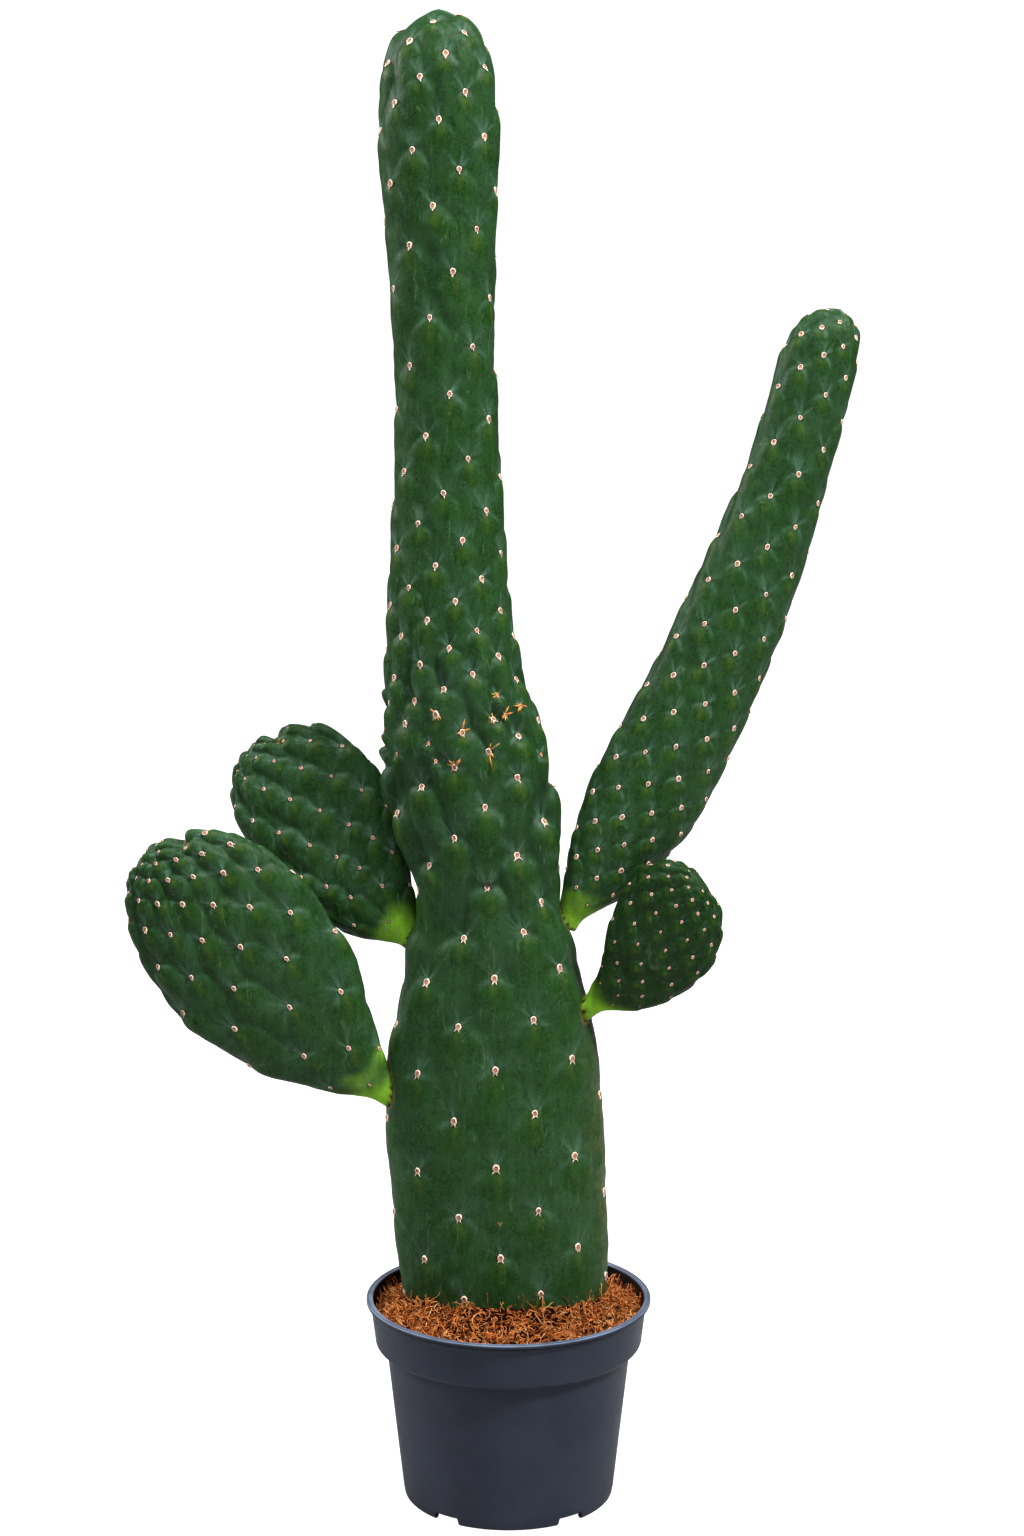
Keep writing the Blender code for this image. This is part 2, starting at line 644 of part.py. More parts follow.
def soil_height(x, y):
    """The soil's top: low mounds and crumbs, as a sum of waves."""
    waves = (
        math.sin(310 * x + 1.3) * math.sin(270 * y + 0.4),
        0.8 * math.sin(160 * (x + y) + 2.1),
        0.7 * math.sin(520 * x - 430 * y),
    )
    return SOIL_TOP + SOIL_RELIEF * sum(waves) / 2


def soil_profile():
    """The outside of the soil, one gap inside the pot, and the rings of its top."""
    shoulder = POT_HEIGHT - COLLAR_HEIGHT
    floor = FLOOR_UNDERSIDE + WALL
    inset = WALL + 2 * GAP
    rows = [
        (0, floor + GAP), (body_radius(floor) - inset, floor + GAP),
        (BODY_TOP_RADIUS - inset, shoulder + WALL - EDGE + GAP), *collar_corner(COLLAR_EDGE - inset),
    ]
    edge = collar_radius(SOIL_TOP) - inset
    for number in range(SOIL_RINGS):
        rows.append((edge * (1 - number / SOIL_RINGS), SOIL_TOP))
    rows.append((0, SOIL_TOP))
    return rows


def make_soil(finish):
    """The soil, with its uneven top and the plain hole that the trunk stands in."""
    soil = revolve("coir_soil", soil_profile(), SOIL_SIDES, finish)
    for vertex in soil.data.vertices:
        if vertex.co.z >= SOIL_TOP - 0.01 * MM:
            vertex.co.z = soil_height(vertex.co.x, vertex.co.y)
    heel = TRUNK["rows"][0][0]
    cut(soil, socket_cutter("heel_seat", TRUNK, (heel, TRUNK["plug"])))
    return soil


def main():
    """Build every piece."""
    clear_scene()
    skin = material(*SKIN)
    make_pot(material(*PLASTIC))
    make_soil(material(*COIR))
    make_trunk(skin)
    make_pads(skin, material(*YOUNG_SKIN))


main()
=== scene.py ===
# %% [markdown]
# # A prickly pear in its nursery pot
#
# The plant is a stack of green stems: a flat trunk that grew on as a tall column, a long arm, and
# three pads. Under the looks lies a measured model of the same plant, the frame. Everything here
# is built in metres in that frame's space, so a piece goes straight to where the frame has it.

# %% Load the frame
import math

import bpy
import numpy as np
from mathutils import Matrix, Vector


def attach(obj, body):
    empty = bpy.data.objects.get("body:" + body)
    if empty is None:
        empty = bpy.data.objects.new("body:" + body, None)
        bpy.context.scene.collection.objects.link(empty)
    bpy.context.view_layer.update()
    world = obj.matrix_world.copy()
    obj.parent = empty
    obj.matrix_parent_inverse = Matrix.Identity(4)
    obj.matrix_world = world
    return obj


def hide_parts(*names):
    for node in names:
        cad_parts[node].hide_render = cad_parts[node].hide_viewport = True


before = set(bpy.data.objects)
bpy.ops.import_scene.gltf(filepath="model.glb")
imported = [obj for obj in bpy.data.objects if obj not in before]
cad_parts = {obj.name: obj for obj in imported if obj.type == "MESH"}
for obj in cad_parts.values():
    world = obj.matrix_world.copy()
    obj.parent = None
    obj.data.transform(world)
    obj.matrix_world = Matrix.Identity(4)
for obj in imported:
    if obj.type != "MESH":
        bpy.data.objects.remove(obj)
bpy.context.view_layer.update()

MM = 0.001
TURN = 2 * math.pi
print("measured nodes:", ", ".join(sorted(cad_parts)))

# %% [markdown]
# ## Surfaces as arrays
#
# A surface is a grid of points: one parameter runs round the piece, the other runs along it. The
# whole grid is worked out at once with numpy, and only then goes into a mesh. Faces join each
# point to its neighbours. A tube of rings is closed by one point at each end, so no seam or pole
# stays open.

# %% Meshes from arrays


def mesh_piece(name, points, quads, triangles, finish, marks=None):
    """A smooth-shaded object from arrays of points and faces, with named values on its points."""
    mesh = bpy.data.meshes.new(name)
    faces = np.concatenate([np.asarray(quads, int).ravel(), np.asarray(triangles, int).ravel()])
    sizes = np.concatenate([np.full(len(quads), 4), np.full(len(triangles), 3)]).astype(int)
    mesh.vertices.add(len(points))
    mesh.vertices.foreach_set("co", np.asarray(points, np.float32).ravel())
    mesh.loops.add(len(faces))
    mesh.loops.foreach_set("vertex_index", faces.astype(np.int32))
    mesh.polygons.add(len(sizes))
    mesh.polygons.foreach_set("loop_start", (np.cumsum(sizes) - sizes).astype(np.int32))
    mesh.update(calc_edges=True)
    mesh.validate()
    for mark, values in (marks or {}).items():
        values = np.asarray(values, np.float32)
        kind = "FLOAT_VECTOR" if values.ndim == 2 else "FLOAT"
        layer = mesh.attributes.new(mark, kind, "POINT")
        layer.data.foreach_set("vector" if values.ndim == 2 else "value", values.ravel())
    mesh.shade_smooth()
    mesh.materials.append(finish)
    piece = bpy.data.objects.new(name, mesh)
    bpy.context.collection.objects.link(piece)
    return piece


def tube_faces(rings, sides):
    """Quads between rings of points that each close on themselves, wound to face outwards."""
    ring, side = np.meshgrid(np.arange(rings - 1), np.arange(sides), indexing="ij")
    after = (side + 1) % sides
    low, high = ring * sides, (ring + 1) * sides
    return np.stack([low + side, low + after, high + after, high + side], axis=-1).reshape(-1, 4)


def fan_faces(ring_start, sides, pole, upward):
    """Triangles from a ring to one closing point, facing up or down."""
    side = np.arange(sides)
    after = (side + 1) % sides
    pair = (side, after) if upward else (after, side)
    return np.stack([ring_start + pair[0], ring_start + pair[1], np.full(sides, pole)], axis=-1)


def tube_ends(rings, sides):
    """Triangles from a tube's first and last ring to the two closing points that follow its rings."""
    last = rings * sides
    return np.vstack([fan_faces(0, sides, last, upward=False),
                      fan_faces(last - sides, sides, last + 1, upward=True)])


def closed_tube(grid, low_end, high_end, clockwise=False):
    """Points, quads and triangles of a tube of rings, closed by a point at each end. Rings that
    run clockwise, seen from above, have their faces turned over."""
    rings, sides = grid.shape[:2]
    points = np.vstack([grid.reshape(-1, 3), [low_end, high_end]])
    quads, ends = tube_faces(rings, sides), tube_ends(rings, sides)
    return (points, quads[:, ::-1], ends[:, ::-1]) if clockwise else (points, quads, ends)


def copies(points, quads, triangles):
    """Many copies of a small mesh as one: the points of every copy, and the faces of the first."""
    count, each = points.shape[:2]
    offset = (np.arange(count) * each)[:, None, None]
    return points.reshape(-1, 3), (quads + offset).reshape(-1, 4), (triangles + offset).reshape(-1, 3)


def on_circle(radius, angle):
    """Flat points at angles: the radius times the cosine and the sine."""
    return np.stack([radius * np.cos(angle), radius * np.sin(angle)], axis=-1)


def three_sides(side, other):
    """Three even directions round a line, from two that are square to it."""
    angle = (np.arange(3) / 3 * TURN)[:, None]
    return side[..., None, :] * np.cos(angle) + other[..., None, :] * np.sin(angle)


# %% [markdown]
# ## Soft variation
#
# Living skin and garden soil vary without a beat. A sum of sine waves in many directions gives a
# smooth random field that is cheap on whole arrays and the same on every run.

# %% A smooth random field


def drift(points, wavelength, seed, waves=24):
    """A smooth field over points: the mean of sine waves in random directions, about -1 to 1."""
    draw = np.random.default_rng(seed)
    direction = draw.normal(size=(waves, 3))
    direction /= np.linalg.norm(direction, axis=1)[:, None]
    rate = TURN / wavelength * draw.uniform(0.6, 1.5, waves)[:, None]
    phase = draw.uniform(0, TURN, waves)
    return np.sin(points @ (direction * rate).T + phase).sum(axis=-1) * math.sqrt(2 / waves) / 1.7


def fade(value, start, end):
    """From 0 at start to 1 at end, with soft ends."""
    share = np.clip((value - start) / (end - start), 0, 1)
    return share * share * (3 - 2 * share)


# %% [markdown]
# ## Camera, light and floor
#
# The picture was taken from 2.3 m away and a little above the middle of the plant, looking 11
# degrees down with a longish lens. That keeps the column straight and shows the soil as a thin
# ellipse. The main light is a small panel, high in front and to the right, so that each mound has a
# lit side and a dark one. Weaker panels on the left, above and behind open the shadows. Sky and
# floor are bright for the camera alone: the plant stands on plain white and keeps its own colours.

# %% Camera
CAMERA_PLACE = (2.6 * MM, -2.301, 0.996)
CAMERA_DOWN = math.radians(11)
LENS = 76.73

camera_data = bpy.data.cameras.new("camera")
camera_data.lens = LENS
camera_data.sensor_width = 36
camera_data.clip_start = 0.05
camera_data.clip_end = 200
camera = bpy.data.objects.new("camera", camera_data)
camera.location = CAMERA_PLACE
camera.rotation_euler = (math.radians(90) - CAMERA_DOWN, 0, 0)
bpy.context.collection.objects.link(camera)
bpy.context.scene.camera = camera
bpy.context.scene.view_settings.view_transform = "Standard"

# %% Light
SKY_LIGHT = 0.08
SKY_SEEN = 1.25


def panel(name, place, target, size, power, colour=(1, 1, 1)):
    """A square soft light that looks at a target."""
    lamp = bpy.data.lights.new(name, "AREA")
    lamp.shape = "SQUARE"
    lamp.size = size
    lamp.energy = power
    lamp.color = colour
    holder = bpy.data.objects.new(name, lamp)
    holder.location = place
    way = Vector(target) - Vector(place)
    holder.rotation_euler = way.to_track_quat("-Z", "Y").to_euler()
    bpy.context.collection.objects.link(holder)


panel("key", (2.55, -1.72, 3.65), (0, 0, 0.5), 0.75, 285)
panel("left side", (-2.3, 0.55, 1.7), (0, 0, 0.6), 0.9, 66)
panel("upper left", (-1.7, -1.9, 2.5), (0, 0, 0.5), 0.9, 28)
panel("top", (0, -0.7, 3.0), (0, 0, 0.3), 0.9, 66, (0.90, 0.95, 1.0))
panel("back", (0.4, 2.8, 2.2), (0, 0, 0.6), 1.6, 22)

world = bpy.data.worlds.new("studio")
world.use_nodes = True
bpy.context.scene.world = world
sky = world.node_tree.nodes["Background"]
sky.inputs["Color"].default_value = (1, 1, 1, 1)
is_seen = world.node_tree.nodes.new("ShaderNodeLightPath")
level = world.node_tree.nodes.new("ShaderNodeMapRange")
level.inputs["To Min"].default_value = SKY_LIGHT
level.inputs["To Max"].default_value = SKY_SEEN
world.node_tree.links.new(is_seen.outputs["Is Camera Ray"], level.inputs["Value"])
world.node_tree.links.new(level.outputs["Result"], sky.inputs["Strength"])

# %% [markdown]
# ## Materials from nodes
#
# Each finish is a network of nodes. A value of the network can be added and multiplied like a
# number, and each such step adds its node. The tone is built up in coats: a coat lays one colour
# over what is there, by an amount from 0 to 1. Relief is laid on relief in the same way.

# %% Node helpers


class Value:
    """A value in a network of nodes. Every step of arithmetic on it adds a node."""

    def __init__(self, look, socket):
        self.look = look
        self.socket = socket

    def __add__(self, other):
        """The sum."""
        return self.look.math("ADD", self, other)

    def __sub__(self, other):
        """The difference."""
        return self.look.math("SUBTRACT", self, other)

    def __mul__(self, other):
        """The product."""
        return self.look.math("MULTIPLY", self, other)

    def take(self, step):
        """A step on this value alone, such as its square root."""
        return self.look.math(step, self)

    def grow(self, rate):
        """The exponential of the value times a rate."""
        return (self * rate).take("EXPONENT")

    def bell(self, width):
        """A bell: the exponential of minus the square of the value over a width."""
        scaled = self * (1 / width)
        return (scaled * scaled).grow(-1.0)

    def span(self, low, high, to_low=0.0, to_high=1.0):
        """One range of the value carried softly onto another."""
        return self.look.node("ShaderNodeMapRange", {"interpolation_type": "SMOOTHSTEP"}, Value=self,
                              From_Min=low, From_Max=high, To_Min=to_low, To_Max=to_high)["Result"]


class Finish:
    """A material under construction, with short calls for the nodes that it needs."""

    def __init__(self, name):
        self.material = bpy.data.materials.new(name)
        self.material.use_nodes = True
        self.tree = self.material.node_tree
        self.shader = self.tree.nodes["Principled BSDF"]
        self.place = self.node("ShaderNodeTexCoord")["Object"]
        self.tone = self.normal = None

    def put(self, socket, value):
        """Link a socket to a value of the network, or set it to a plain one."""
        if isinstance(value, Value):
            self.tree.links.new(value.socket, socket)
        elif socket.type == "RGBA":
            socket.default_value = (*value, 1.0)
        else:
            socket.default_value = value

    def node(self, kind, settings=None, **inputs):
        """Add a node, with its settings and its inputs by name, and give its outputs by name."""
        made = self.tree.nodes.new(kind)
        for key, value in (settings or {}).items():
            setattr(made, key, value)
        for key, value in inputs.items():
            self.put(made.inputs[key.replace("_", " ")], value)
        return {socket.name: Value(self, socket) for socket in reversed(list(made.outputs))}

    def math(self, step, *values, clamp=False):
        """One step of arithmetic."""
        made = self.tree.nodes.new("ShaderNodeMath")
        made.operation = step
        made.use_clamp = clamp
        for socket, value in zip(made.inputs, values):
            self.put(socket, value)
        return Value(self, made.outputs[0])

    def xyz(self, vector):
        """The three parts of a vector."""
        parts = self.node("ShaderNodeSeparateXYZ", Vector=vector)
        return parts["X"], parts["Y"], parts["Z"]

    def noise(self, scale, detail=3.0, rough=0.6, warp=0.0):
        """Cloudy noise. Scale counts its lumps in a metre, in all directions or along each axis."""
        place = self.place
        if isinstance(scale, tuple):
            place = self.node("ShaderNodeMapping", Vector=place, Scale=scale)["Vector"]
            scale = 1.0
        return self.node("ShaderNodeTexNoise", Vector=place, Scale=scale, Detail=detail,
                         Roughness=rough, Distortion=warp)["Fac"]

    def mark(self, name, output="Fac"):
        """A value that the mesh carries on its points."""
        return self.node("ShaderNodeAttribute", {"attribute_name": name})[output]

    def blend(self, amount, first, second):
        """A colour between two colours."""
        made = self.tree.nodes.new("ShaderNodeMix")
        made.data_type = "RGBA"
        colours = [socket for socket in made.inputs if socket.type == "RGBA"]
        for socket, value in zip((made.inputs["Factor"], *colours), (amount, first, second)):
            self.put(socket, value)
        return Value(self, next(socket for socket in made.outputs if socket.type == "RGBA"))

    def coat(self, amount, colour):
        """Lay a colour over the tone so far."""
        self.tone = self.blend(amount, self.tone, colour)

    def relief(self, height, distance, strength):
        """Lay fine relief, which only bends the light, over the relief so far."""
        before = {"Normal": self.normal} if self.normal else {}
        self.normal = self.node("ShaderNodeBump", Height=height, Distance=distance,
                                Strength=strength, **before)["Normal"]

    def done(self, roughness, specular=0.5):
        """Join tone, roughness, shine and relief to the shader."""
        self.put(self.shader.inputs["Base Color"], self.tone)
        self.put(self.shader.inputs["Roughness"], roughness)
        self.put(self.shader.inputs["Specular IOR Level"], specular)
        if self.normal:
            self.put(self.shader.inputs["Normal"], self.normal)
        return self.material


# %% Floor
FLOOR_REACH = 40.0
FLOOR_DROP = 0.2 * MM
FLOOR_SHINE = 1.1

look = Finish("pale_floor")
look.tone = look.blend(look.noise(2.0, rough=0.55).span(0.2, 0.8), (0.38, 0.38, 0.38), (0.42, 0.42, 0.42))
seen = look.node("ShaderNodeLightPath")["Is Camera Ray"]
look.put(look.shader.inputs["Emission Color"], (1.0, 1.0, 1.0))
look.put(look.shader.inputs["Emission Strength"], seen * FLOOR_SHINE)
corners = np.array([(-1, -1), (1, -1), (1, 1), (-1, 1)]) * FLOOR_REACH
floor = mesh_piece("floor", np.column_stack([corners, np.full(4, -FLOOR_DROP)]), [(0, 1, 2, 3)], (),
                   look.done(0.9, 0.1))

# %% [markdown]
# ## The stems
#
# Every green piece is a stem of elliptic sections. A few measured rows give, along its axis, how
# far its middle wanders and its half width and half thickness, in millimetres. A smooth curve
# through the rows gives all sections between. The same rows shape the measured frame, so the fine
# skin lies where the frame's plain solids are.
#
# Areoles, the small felt cushions that carry the spines, follow a spiral like the scales of a
# pine cone. A spiral needs only a first place, a step from one areole to the next, and how much
# skin each areole has to itself, which shrinks towards the tip.

# %% Measured rows
TRUNK = dict(
    base=(0, 0, 0), lean=0, tilt=0,
    rows=(
        (70, -2, 61, 31), (146, -2.5, 73, 36), (180, -4, 77.5, 38), (230, -7, 78.5, 39),
        (290, -10.5, 79.5, 39.5), (340, -10.5, 76.5, 38.5), (380, -10.5, 70, 37), (403, -12, 65, 36),
        (420, -12.5, 62, 35.5), (432, -12, 56, 34.5), (443, -13.5, 51.5, 33.5), (462, -15.5, 51.5, 33),
        (500, -21.5, 58.5, 33.5), (522, -26, 60.7, 34), (545, -28.7, 60.3, 34), (585, -34, 54, 34),
        (620, -39, 47.5, 32.5), (665, -42, 43.5, 30.5), (740, -42.5, 38.5, 28.5), (830, -43.5, 35.5, 27),
        (900, -46, 36.5, 27.5), (965, -47.5, 40.5, 28.5), (1015, -48.5, 40.5, 28.5),
        (1045, -48.5, 36, 26), (1066, -47.5, 25, 19.5), (1080, -47.5, 0, 0),
    ),
    crowd=((150, 1610), (280, 2260), (420, 1600), (450, 1150), (530, 1435), (566, 540), (598, 420),
           (620, 577), (650, 578), (720, 829), (850, 1350), (960, 1070), (1030, 718), (1062, 497),
           (1080, 350)),
    spirals=((156.8, 0.4849, -0.15406), (442.4, 0.9511, 0.3824), (599.1, 0.6015, 0.38261)),
    plug=146, first_areole=5,
)
RIGHT_ARM = dict(
    base=(41.7, 4, 440.7), lean=24, tilt=2,
    rows=(
        (-9, 3, 8.5, 7), (0, 3.5, 9.5, 8), (10, 5.4, 14, 11), (25, 9, 21, 14.5), (45, 11, 28.3, 17.5),
        (70, 14.5, 35.8, 20.5), (100, 17.5, 40.8, 22.5), (140, 20, 40.5, 23.5), (200, 21.7, 38.3, 24),
        (280, 19.5, 34.7, 23.5), (350, 14, 29.8, 22), (400, 6.5, 28.8, 21.5), (430, 1.5, 27.8, 20.5),
        (452, -0.6, 24.3, 18), (467, -1, 16.5, 12.5), (475, -1, 0, 0),
    ),
    crowd=((20, 312), (60, 402), (120, 497), (250, 702), (400, 737), (450, 276), (473, 168)),
    spirals=((14.0, 0.2059, 0.38271),),
)
RIGHT_PAD = dict(
    base=(59.6, -12, 381.5), lean=48, tilt=-14,
    rows=(
        (-13, 4, 7.5, 6), (0, 4, 8.5, 6.5), (8, 4.7, 12.9, 8), (20, 7, 19.8, 9.5), (40, 3.4, 31.5, 11.5),
        (60, -1.7, 39.8, 12.5), (80, -6.3, 42.8, 12.5), (100, -11.5, 39.8, 12), (113, -15, 31.5, 10.5),
        (121, -17.5, 20.5, 7.5), (126, -20, 0, 0),
    ),
    crowd=((10, 141), (50, 317), (90, 233), (118, 134), (125, 123)),
    spirals=((13.0, 0.1790, -0.38802),),
)
LEFT_UPPER_PAD = dict(
    base=(-69.9, 6, 424.4), lean=-42, tilt=14,
    rows=(
        (-9, -1.5, 8.5, 6.5), (0, -1.5, 10, 7), (10, -2.6, 16.5, 9), (25, -4.6, 26.8, 11),
        (45, -3.6, 38.4, 13), (70, 0.8, 47.3, 14.5), (100, 4.3, 53.2, 15), (125, 5.2, 55, 15),
        (151, 5.2, 48, 13.5), (167, 4.6, 38, 12), (178, 3, 21.5, 8), (184, 2, 0, 0),
    ),
    crowd=((10, 907), (60, 409), (110, 681), (160, 442), (181, 77)),
    spirals=((17.3, 0.2625, 0.38131),),
    notch=(19, 6, 18),
)
LEFT_LOWER_PAD = dict(
    base=(-89, -8, 316.6), lean=-46, tilt=-9,
    rows=(
        (-12, -3.5, 9.5, 7), (0, -4, 11.5, 7.5), (10, -4.7, 16.5, 9), (25, -5.8, 25, 11),
        (45, -5, 36, 13.5), (75, -1.7, 52.5, 15.5), (100, 1, 60, 16.5), (140, 3.8, 67, 17),
        (175, 8.5, 64.5, 16.5), (200, 12, 58, 15.5), (220, 13.5, 48, 14), (236, 13.5, 34, 11.5),
        (246, 12, 18.5, 8), (250.5, 11, 0, 0),
    ),
    crowd=((10, 591), (80, 1877), (150, 988), (210, 439), (240, 194), (250, 120)),
    spirals=((-4, 0.5052, 0.38307),),
    notch=(38, 6.5, 21),
)
PADS = dict(right_arm=RIGHT_ARM, right_pad=RIGHT_PAD,
            left_upper_pad=LEFT_UPPER_PAD, left_lower_pad=LEFT_LOWER_PAD)

# %% A stem and its areoles
SEAT_MARGIN = 10 * MM
CLOSEST = 0.66
FIRST_AREOLE = 11


def smooth_rows(rows, steps=40):
    """A curve through the rows: each stretch blends straight lines between four rows, then the
    blends, with the time from row to row as the square root of their distance. The last row is a
    round tip."""

    def blend(first, last, start, end):
        """From first to last while the time goes from start to end."""
        return first + (last - first) * (at - start) / (end - start)

    rows = np.array(rows, float) * MM
    knots = np.vstack([2 * rows[0] - rows[1], rows, rows[-2] * (1, 1, -1, -1)])
    reach = np.sqrt((np.diff(knots[:, (0, 2)], axis=0) ** 2).sum(1)) ** 0.5
    when = np.concatenate([[0], np.cumsum(reach)])
    pieces = []
    for i in range(1, len(knots) - 2):
        at = np.linspace(when[i], when[i + 1], steps, endpoint=False)[:, None]
        t0, t1, t2, t3 = when[i - 1:i + 3]
        low, middle, high = (blend(*knots[j:j + 2], *when[j:j + 2]) for j in (i - 1, i, i + 1))
        low, high = blend(low, middle, t0, t2), blend(middle, high, t1, t3)
        pieces.append(blend(low, high, t1, t2))
    return np.vstack(pieces + [rows[-1:]])


def ellipse_length(wide, thick):
    """The way round an ellipse: pi times a mean of its half axes."""
    return math.pi * (3 * (wide + thick) - np.sqrt((3 * wide + thick) * (wide + 3 * thick)))


def ellipse_angles(shares, aspects):
    """The angle at each share of the way round, one row for each aspect, from arc length tables."""
    angles = np.linspace(0, TURN, 241)
    middle = (angles[1:] + angles[:-1]) / 2
    step = np.hypot(np.sin(middle), np.asarray(aspects)[:, None] * np.cos(middle))
    arcs = np.cumsum(step, axis=1)
    arcs = np.hstack([np.zeros((len(arcs), 1)), arcs]) / arcs[:, -1:]
    return np.array([np.interp(share, arc, angles) for share, arc in zip(shares, arcs)])


def turned(recipe, points, back=False):
    """Points carried from a stem's own upright space to the plant, or back again. The stem tilts
    about the X axis, then leans about the Y axis, then moves to its base."""
    lean, tilt = math.radians(recipe["lean"]), math.radians(recipe["tilt"])
    about_y = np.array([(math.cos(lean), 0, math.sin(lean)), (0, 1, 0),
                        (-math.sin(lean), 0, math.cos(lean))])
    about_x = np.array([(1, 0, 0), (0, math.cos(tilt), math.sin(tilt)),
                        (0, -math.sin(tilt), math.cos(tilt))])
    both = about_y @ about_x
    base = np.array(recipe["base"]) * MM
    return (points - base) @ both if back else points @ both.T + base


class Stem:
    """A green piece: its curve of sections, its distances along the skin and its areoles."""

    def __init__(self, recipe):
        self.recipe = recipe
        self.rows = smooth_rows(recipe["rows"])
        along, _, wide, thick = self.rows.T
        self.around = ellipse_length(wide, thick)
        self.sheet = self.around.max()
        step = np.hypot(np.diff(along), np.diff(wide))
        mean = (self.around[1:] + self.around[:-1]) / 2
        self.reach = np.concatenate([[0], np.cumsum(step)])
        self.height = np.concatenate([[0], np.cumsum(step * self.sheet / mean)])
        crowd = np.array(recipe["crowd"], float) * (MM, MM * MM)
        area = np.interp(along, crowd[:, 0], crowd[:, 1])
        self.spacing = np.sqrt(area)
        self.count = np.concatenate([[0], np.cumsum(step * mean / ((area[1:] + area[:-1]) / 2))])

    def reach_at(self, height):
        """Distance up the skin at a height along the axis."""
        return np.interp(height, self.rows[:, 0], self.reach)

    def row(self, reach):
        """Height along the axis, shift, half width and half thickness at distances up the skin."""
        return np.array([np.interp(reach, self.reach, column) for column in self.rows.T])

    def skin(self, shares, reach):
        """Bare skin on a grid: ellipses, each point placed by its share of the way round. A notch
        lowers the tip by a bell across it."""
        along, shift, wide, thick = self.row(reach)[:, :, None]
        ratio = (thick / np.maximum(wide, 1e-6)).ravel()
        angle = ellipse_angles(np.broadcast_to(shares, (len(reach), len(shares))), ratio)
        across = shift + wide * np.cos(angle)
        if "notch" in self.recipe:
            middle, spread, depth = (value * MM for value in self.recipe["notch"])
            near_tip = fade(along / self.rows[-1, 0], 0.5, 1) * (1 - wide / self.rows[:, 2].max()) ** 2
            along = along - depth * near_tip * np.exp(-((across - middle) / spread) ** 2)
        return np.stack([across, -thick * np.sin(angle), np.broadcast_to(along, across.shape)], axis=-1)

    def areoles(self):
        """Shares and distances up the skin of the areoles, on the spirals, none too close."""
        spirals = self.recipe["spirals"]
        starts = [np.interp(start * MM, self.rows[:, 0], self.count) for start, _, _ in spirals]
        lowest = self.recipe.get("plug", 0) + self.recipe.get("first_areole", FIRST_AREOLE)
        lowest = np.interp(lowest * MM, self.rows[:, 0], self.height)
        chosen = []
        for (_, first, step), begin, end in zip(spirals, starts, starts[1:] + [self.count[-1]]):
            for number in range(math.ceil(end - begin)):
                height = np.interp(begin + number, self.count, self.height)
                share = (first + step * number) % 1
                if lowest < height and self.is_clear(share, height, chosen):
                    chosen.append((share, height))
        chosen = np.array(chosen)
        chosen[:, 1] = np.interp(chosen[:, 1], self.height, self.reach)
        return chosen

    def is_clear(self, share, height, others):
        """Whether no other areole is closer than two thirds of the mean distance."""
        other = np.array(others[-40:]).reshape(-1, 2)
        across = (other[:, 0] - share + 0.5) % 1 - 0.5
        away = np.hypot(across * self.sheet, other[:, 1] - height)
        scale = self.sheet / max(np.interp(height, self.height, self.around), 1e-4)
        spacing = np.interp(height, self.height, self.spacing) * scale
        return not len(other) or away.min() > CLOSEST * spacing

    def outside(self, points):
        """About how far points of the plant lie outside this stem's bare skin."""
        local = turned(self.recipe, points, back=True)
        _, shift, wide, thick = [np.interp(local[..., 2], self.rows[:, 0], row) for row in self.rows.T]
        wide, thick = np.maximum(wide, 1e-5), np.maximum(thick, 1e-5)
        spread = np.hypot((local[..., 0] - shift) / wide, local[..., 1] / thick)
        flat = np.hypot(local[..., 0] - shift, local[..., 1])
        side = flat * (1 - 1 / np.maximum(spread, 1e-3))
        beyond = np.maximum(self.rows[0, 0] - local[..., 2], local[..., 2] - self.rows[-1, 0])
        return np.maximum(side, beyond)


stems = {name: Stem(recipe) for name, recipe in dict(trunk=TRUNK, **PADS).items()}
print({name: len(stem.areoles()) for name, stem in stems.items()}, "areoles")

# %% [markdown]
# ## Tubercles
#
# An areole sits on the upper shoulder of a low mound, the tubercle. The mound has a round top and
# runs down like a thumb, getting lower, until it slips between the mounds of the next areoles.
# Where growth paused the mounds are crowded and thick. On the tall column they are drawn out and
# pointed, so that their edges join into a net of slanting lines. One mound is a formula in its own
# sideways and upward distances, and the skin takes a soft maximum of all of them.

# %% One mound
DOME_DROP = 0.40
DOME_SIZE = 0.50
TAIL_FALL = 0.42
SOFTNESS = 0.075


def dome_distance(a, b, roundness):
    """Distance from a mound's middle line, in units of the areole spacing. Over the mound's top
    both distances are raised to a power and added: 2 makes the top round, less makes it pointed."""
    above = np.maximum(b + DOME_DROP, 0)
    return (np.abs(a) ** roundness + above ** roundness) ** (1 / roundness)


def mound(away, b, fall):
    """Height of a mound: one, less a power of the distance over its size, less a fall below the
    areole that grows a little faster than the distance."""
    return 1 - (away / DOME_SIZE) ** 2.4 - fall * np.maximum(-b - DOME_DROP, 0) ** 1.3
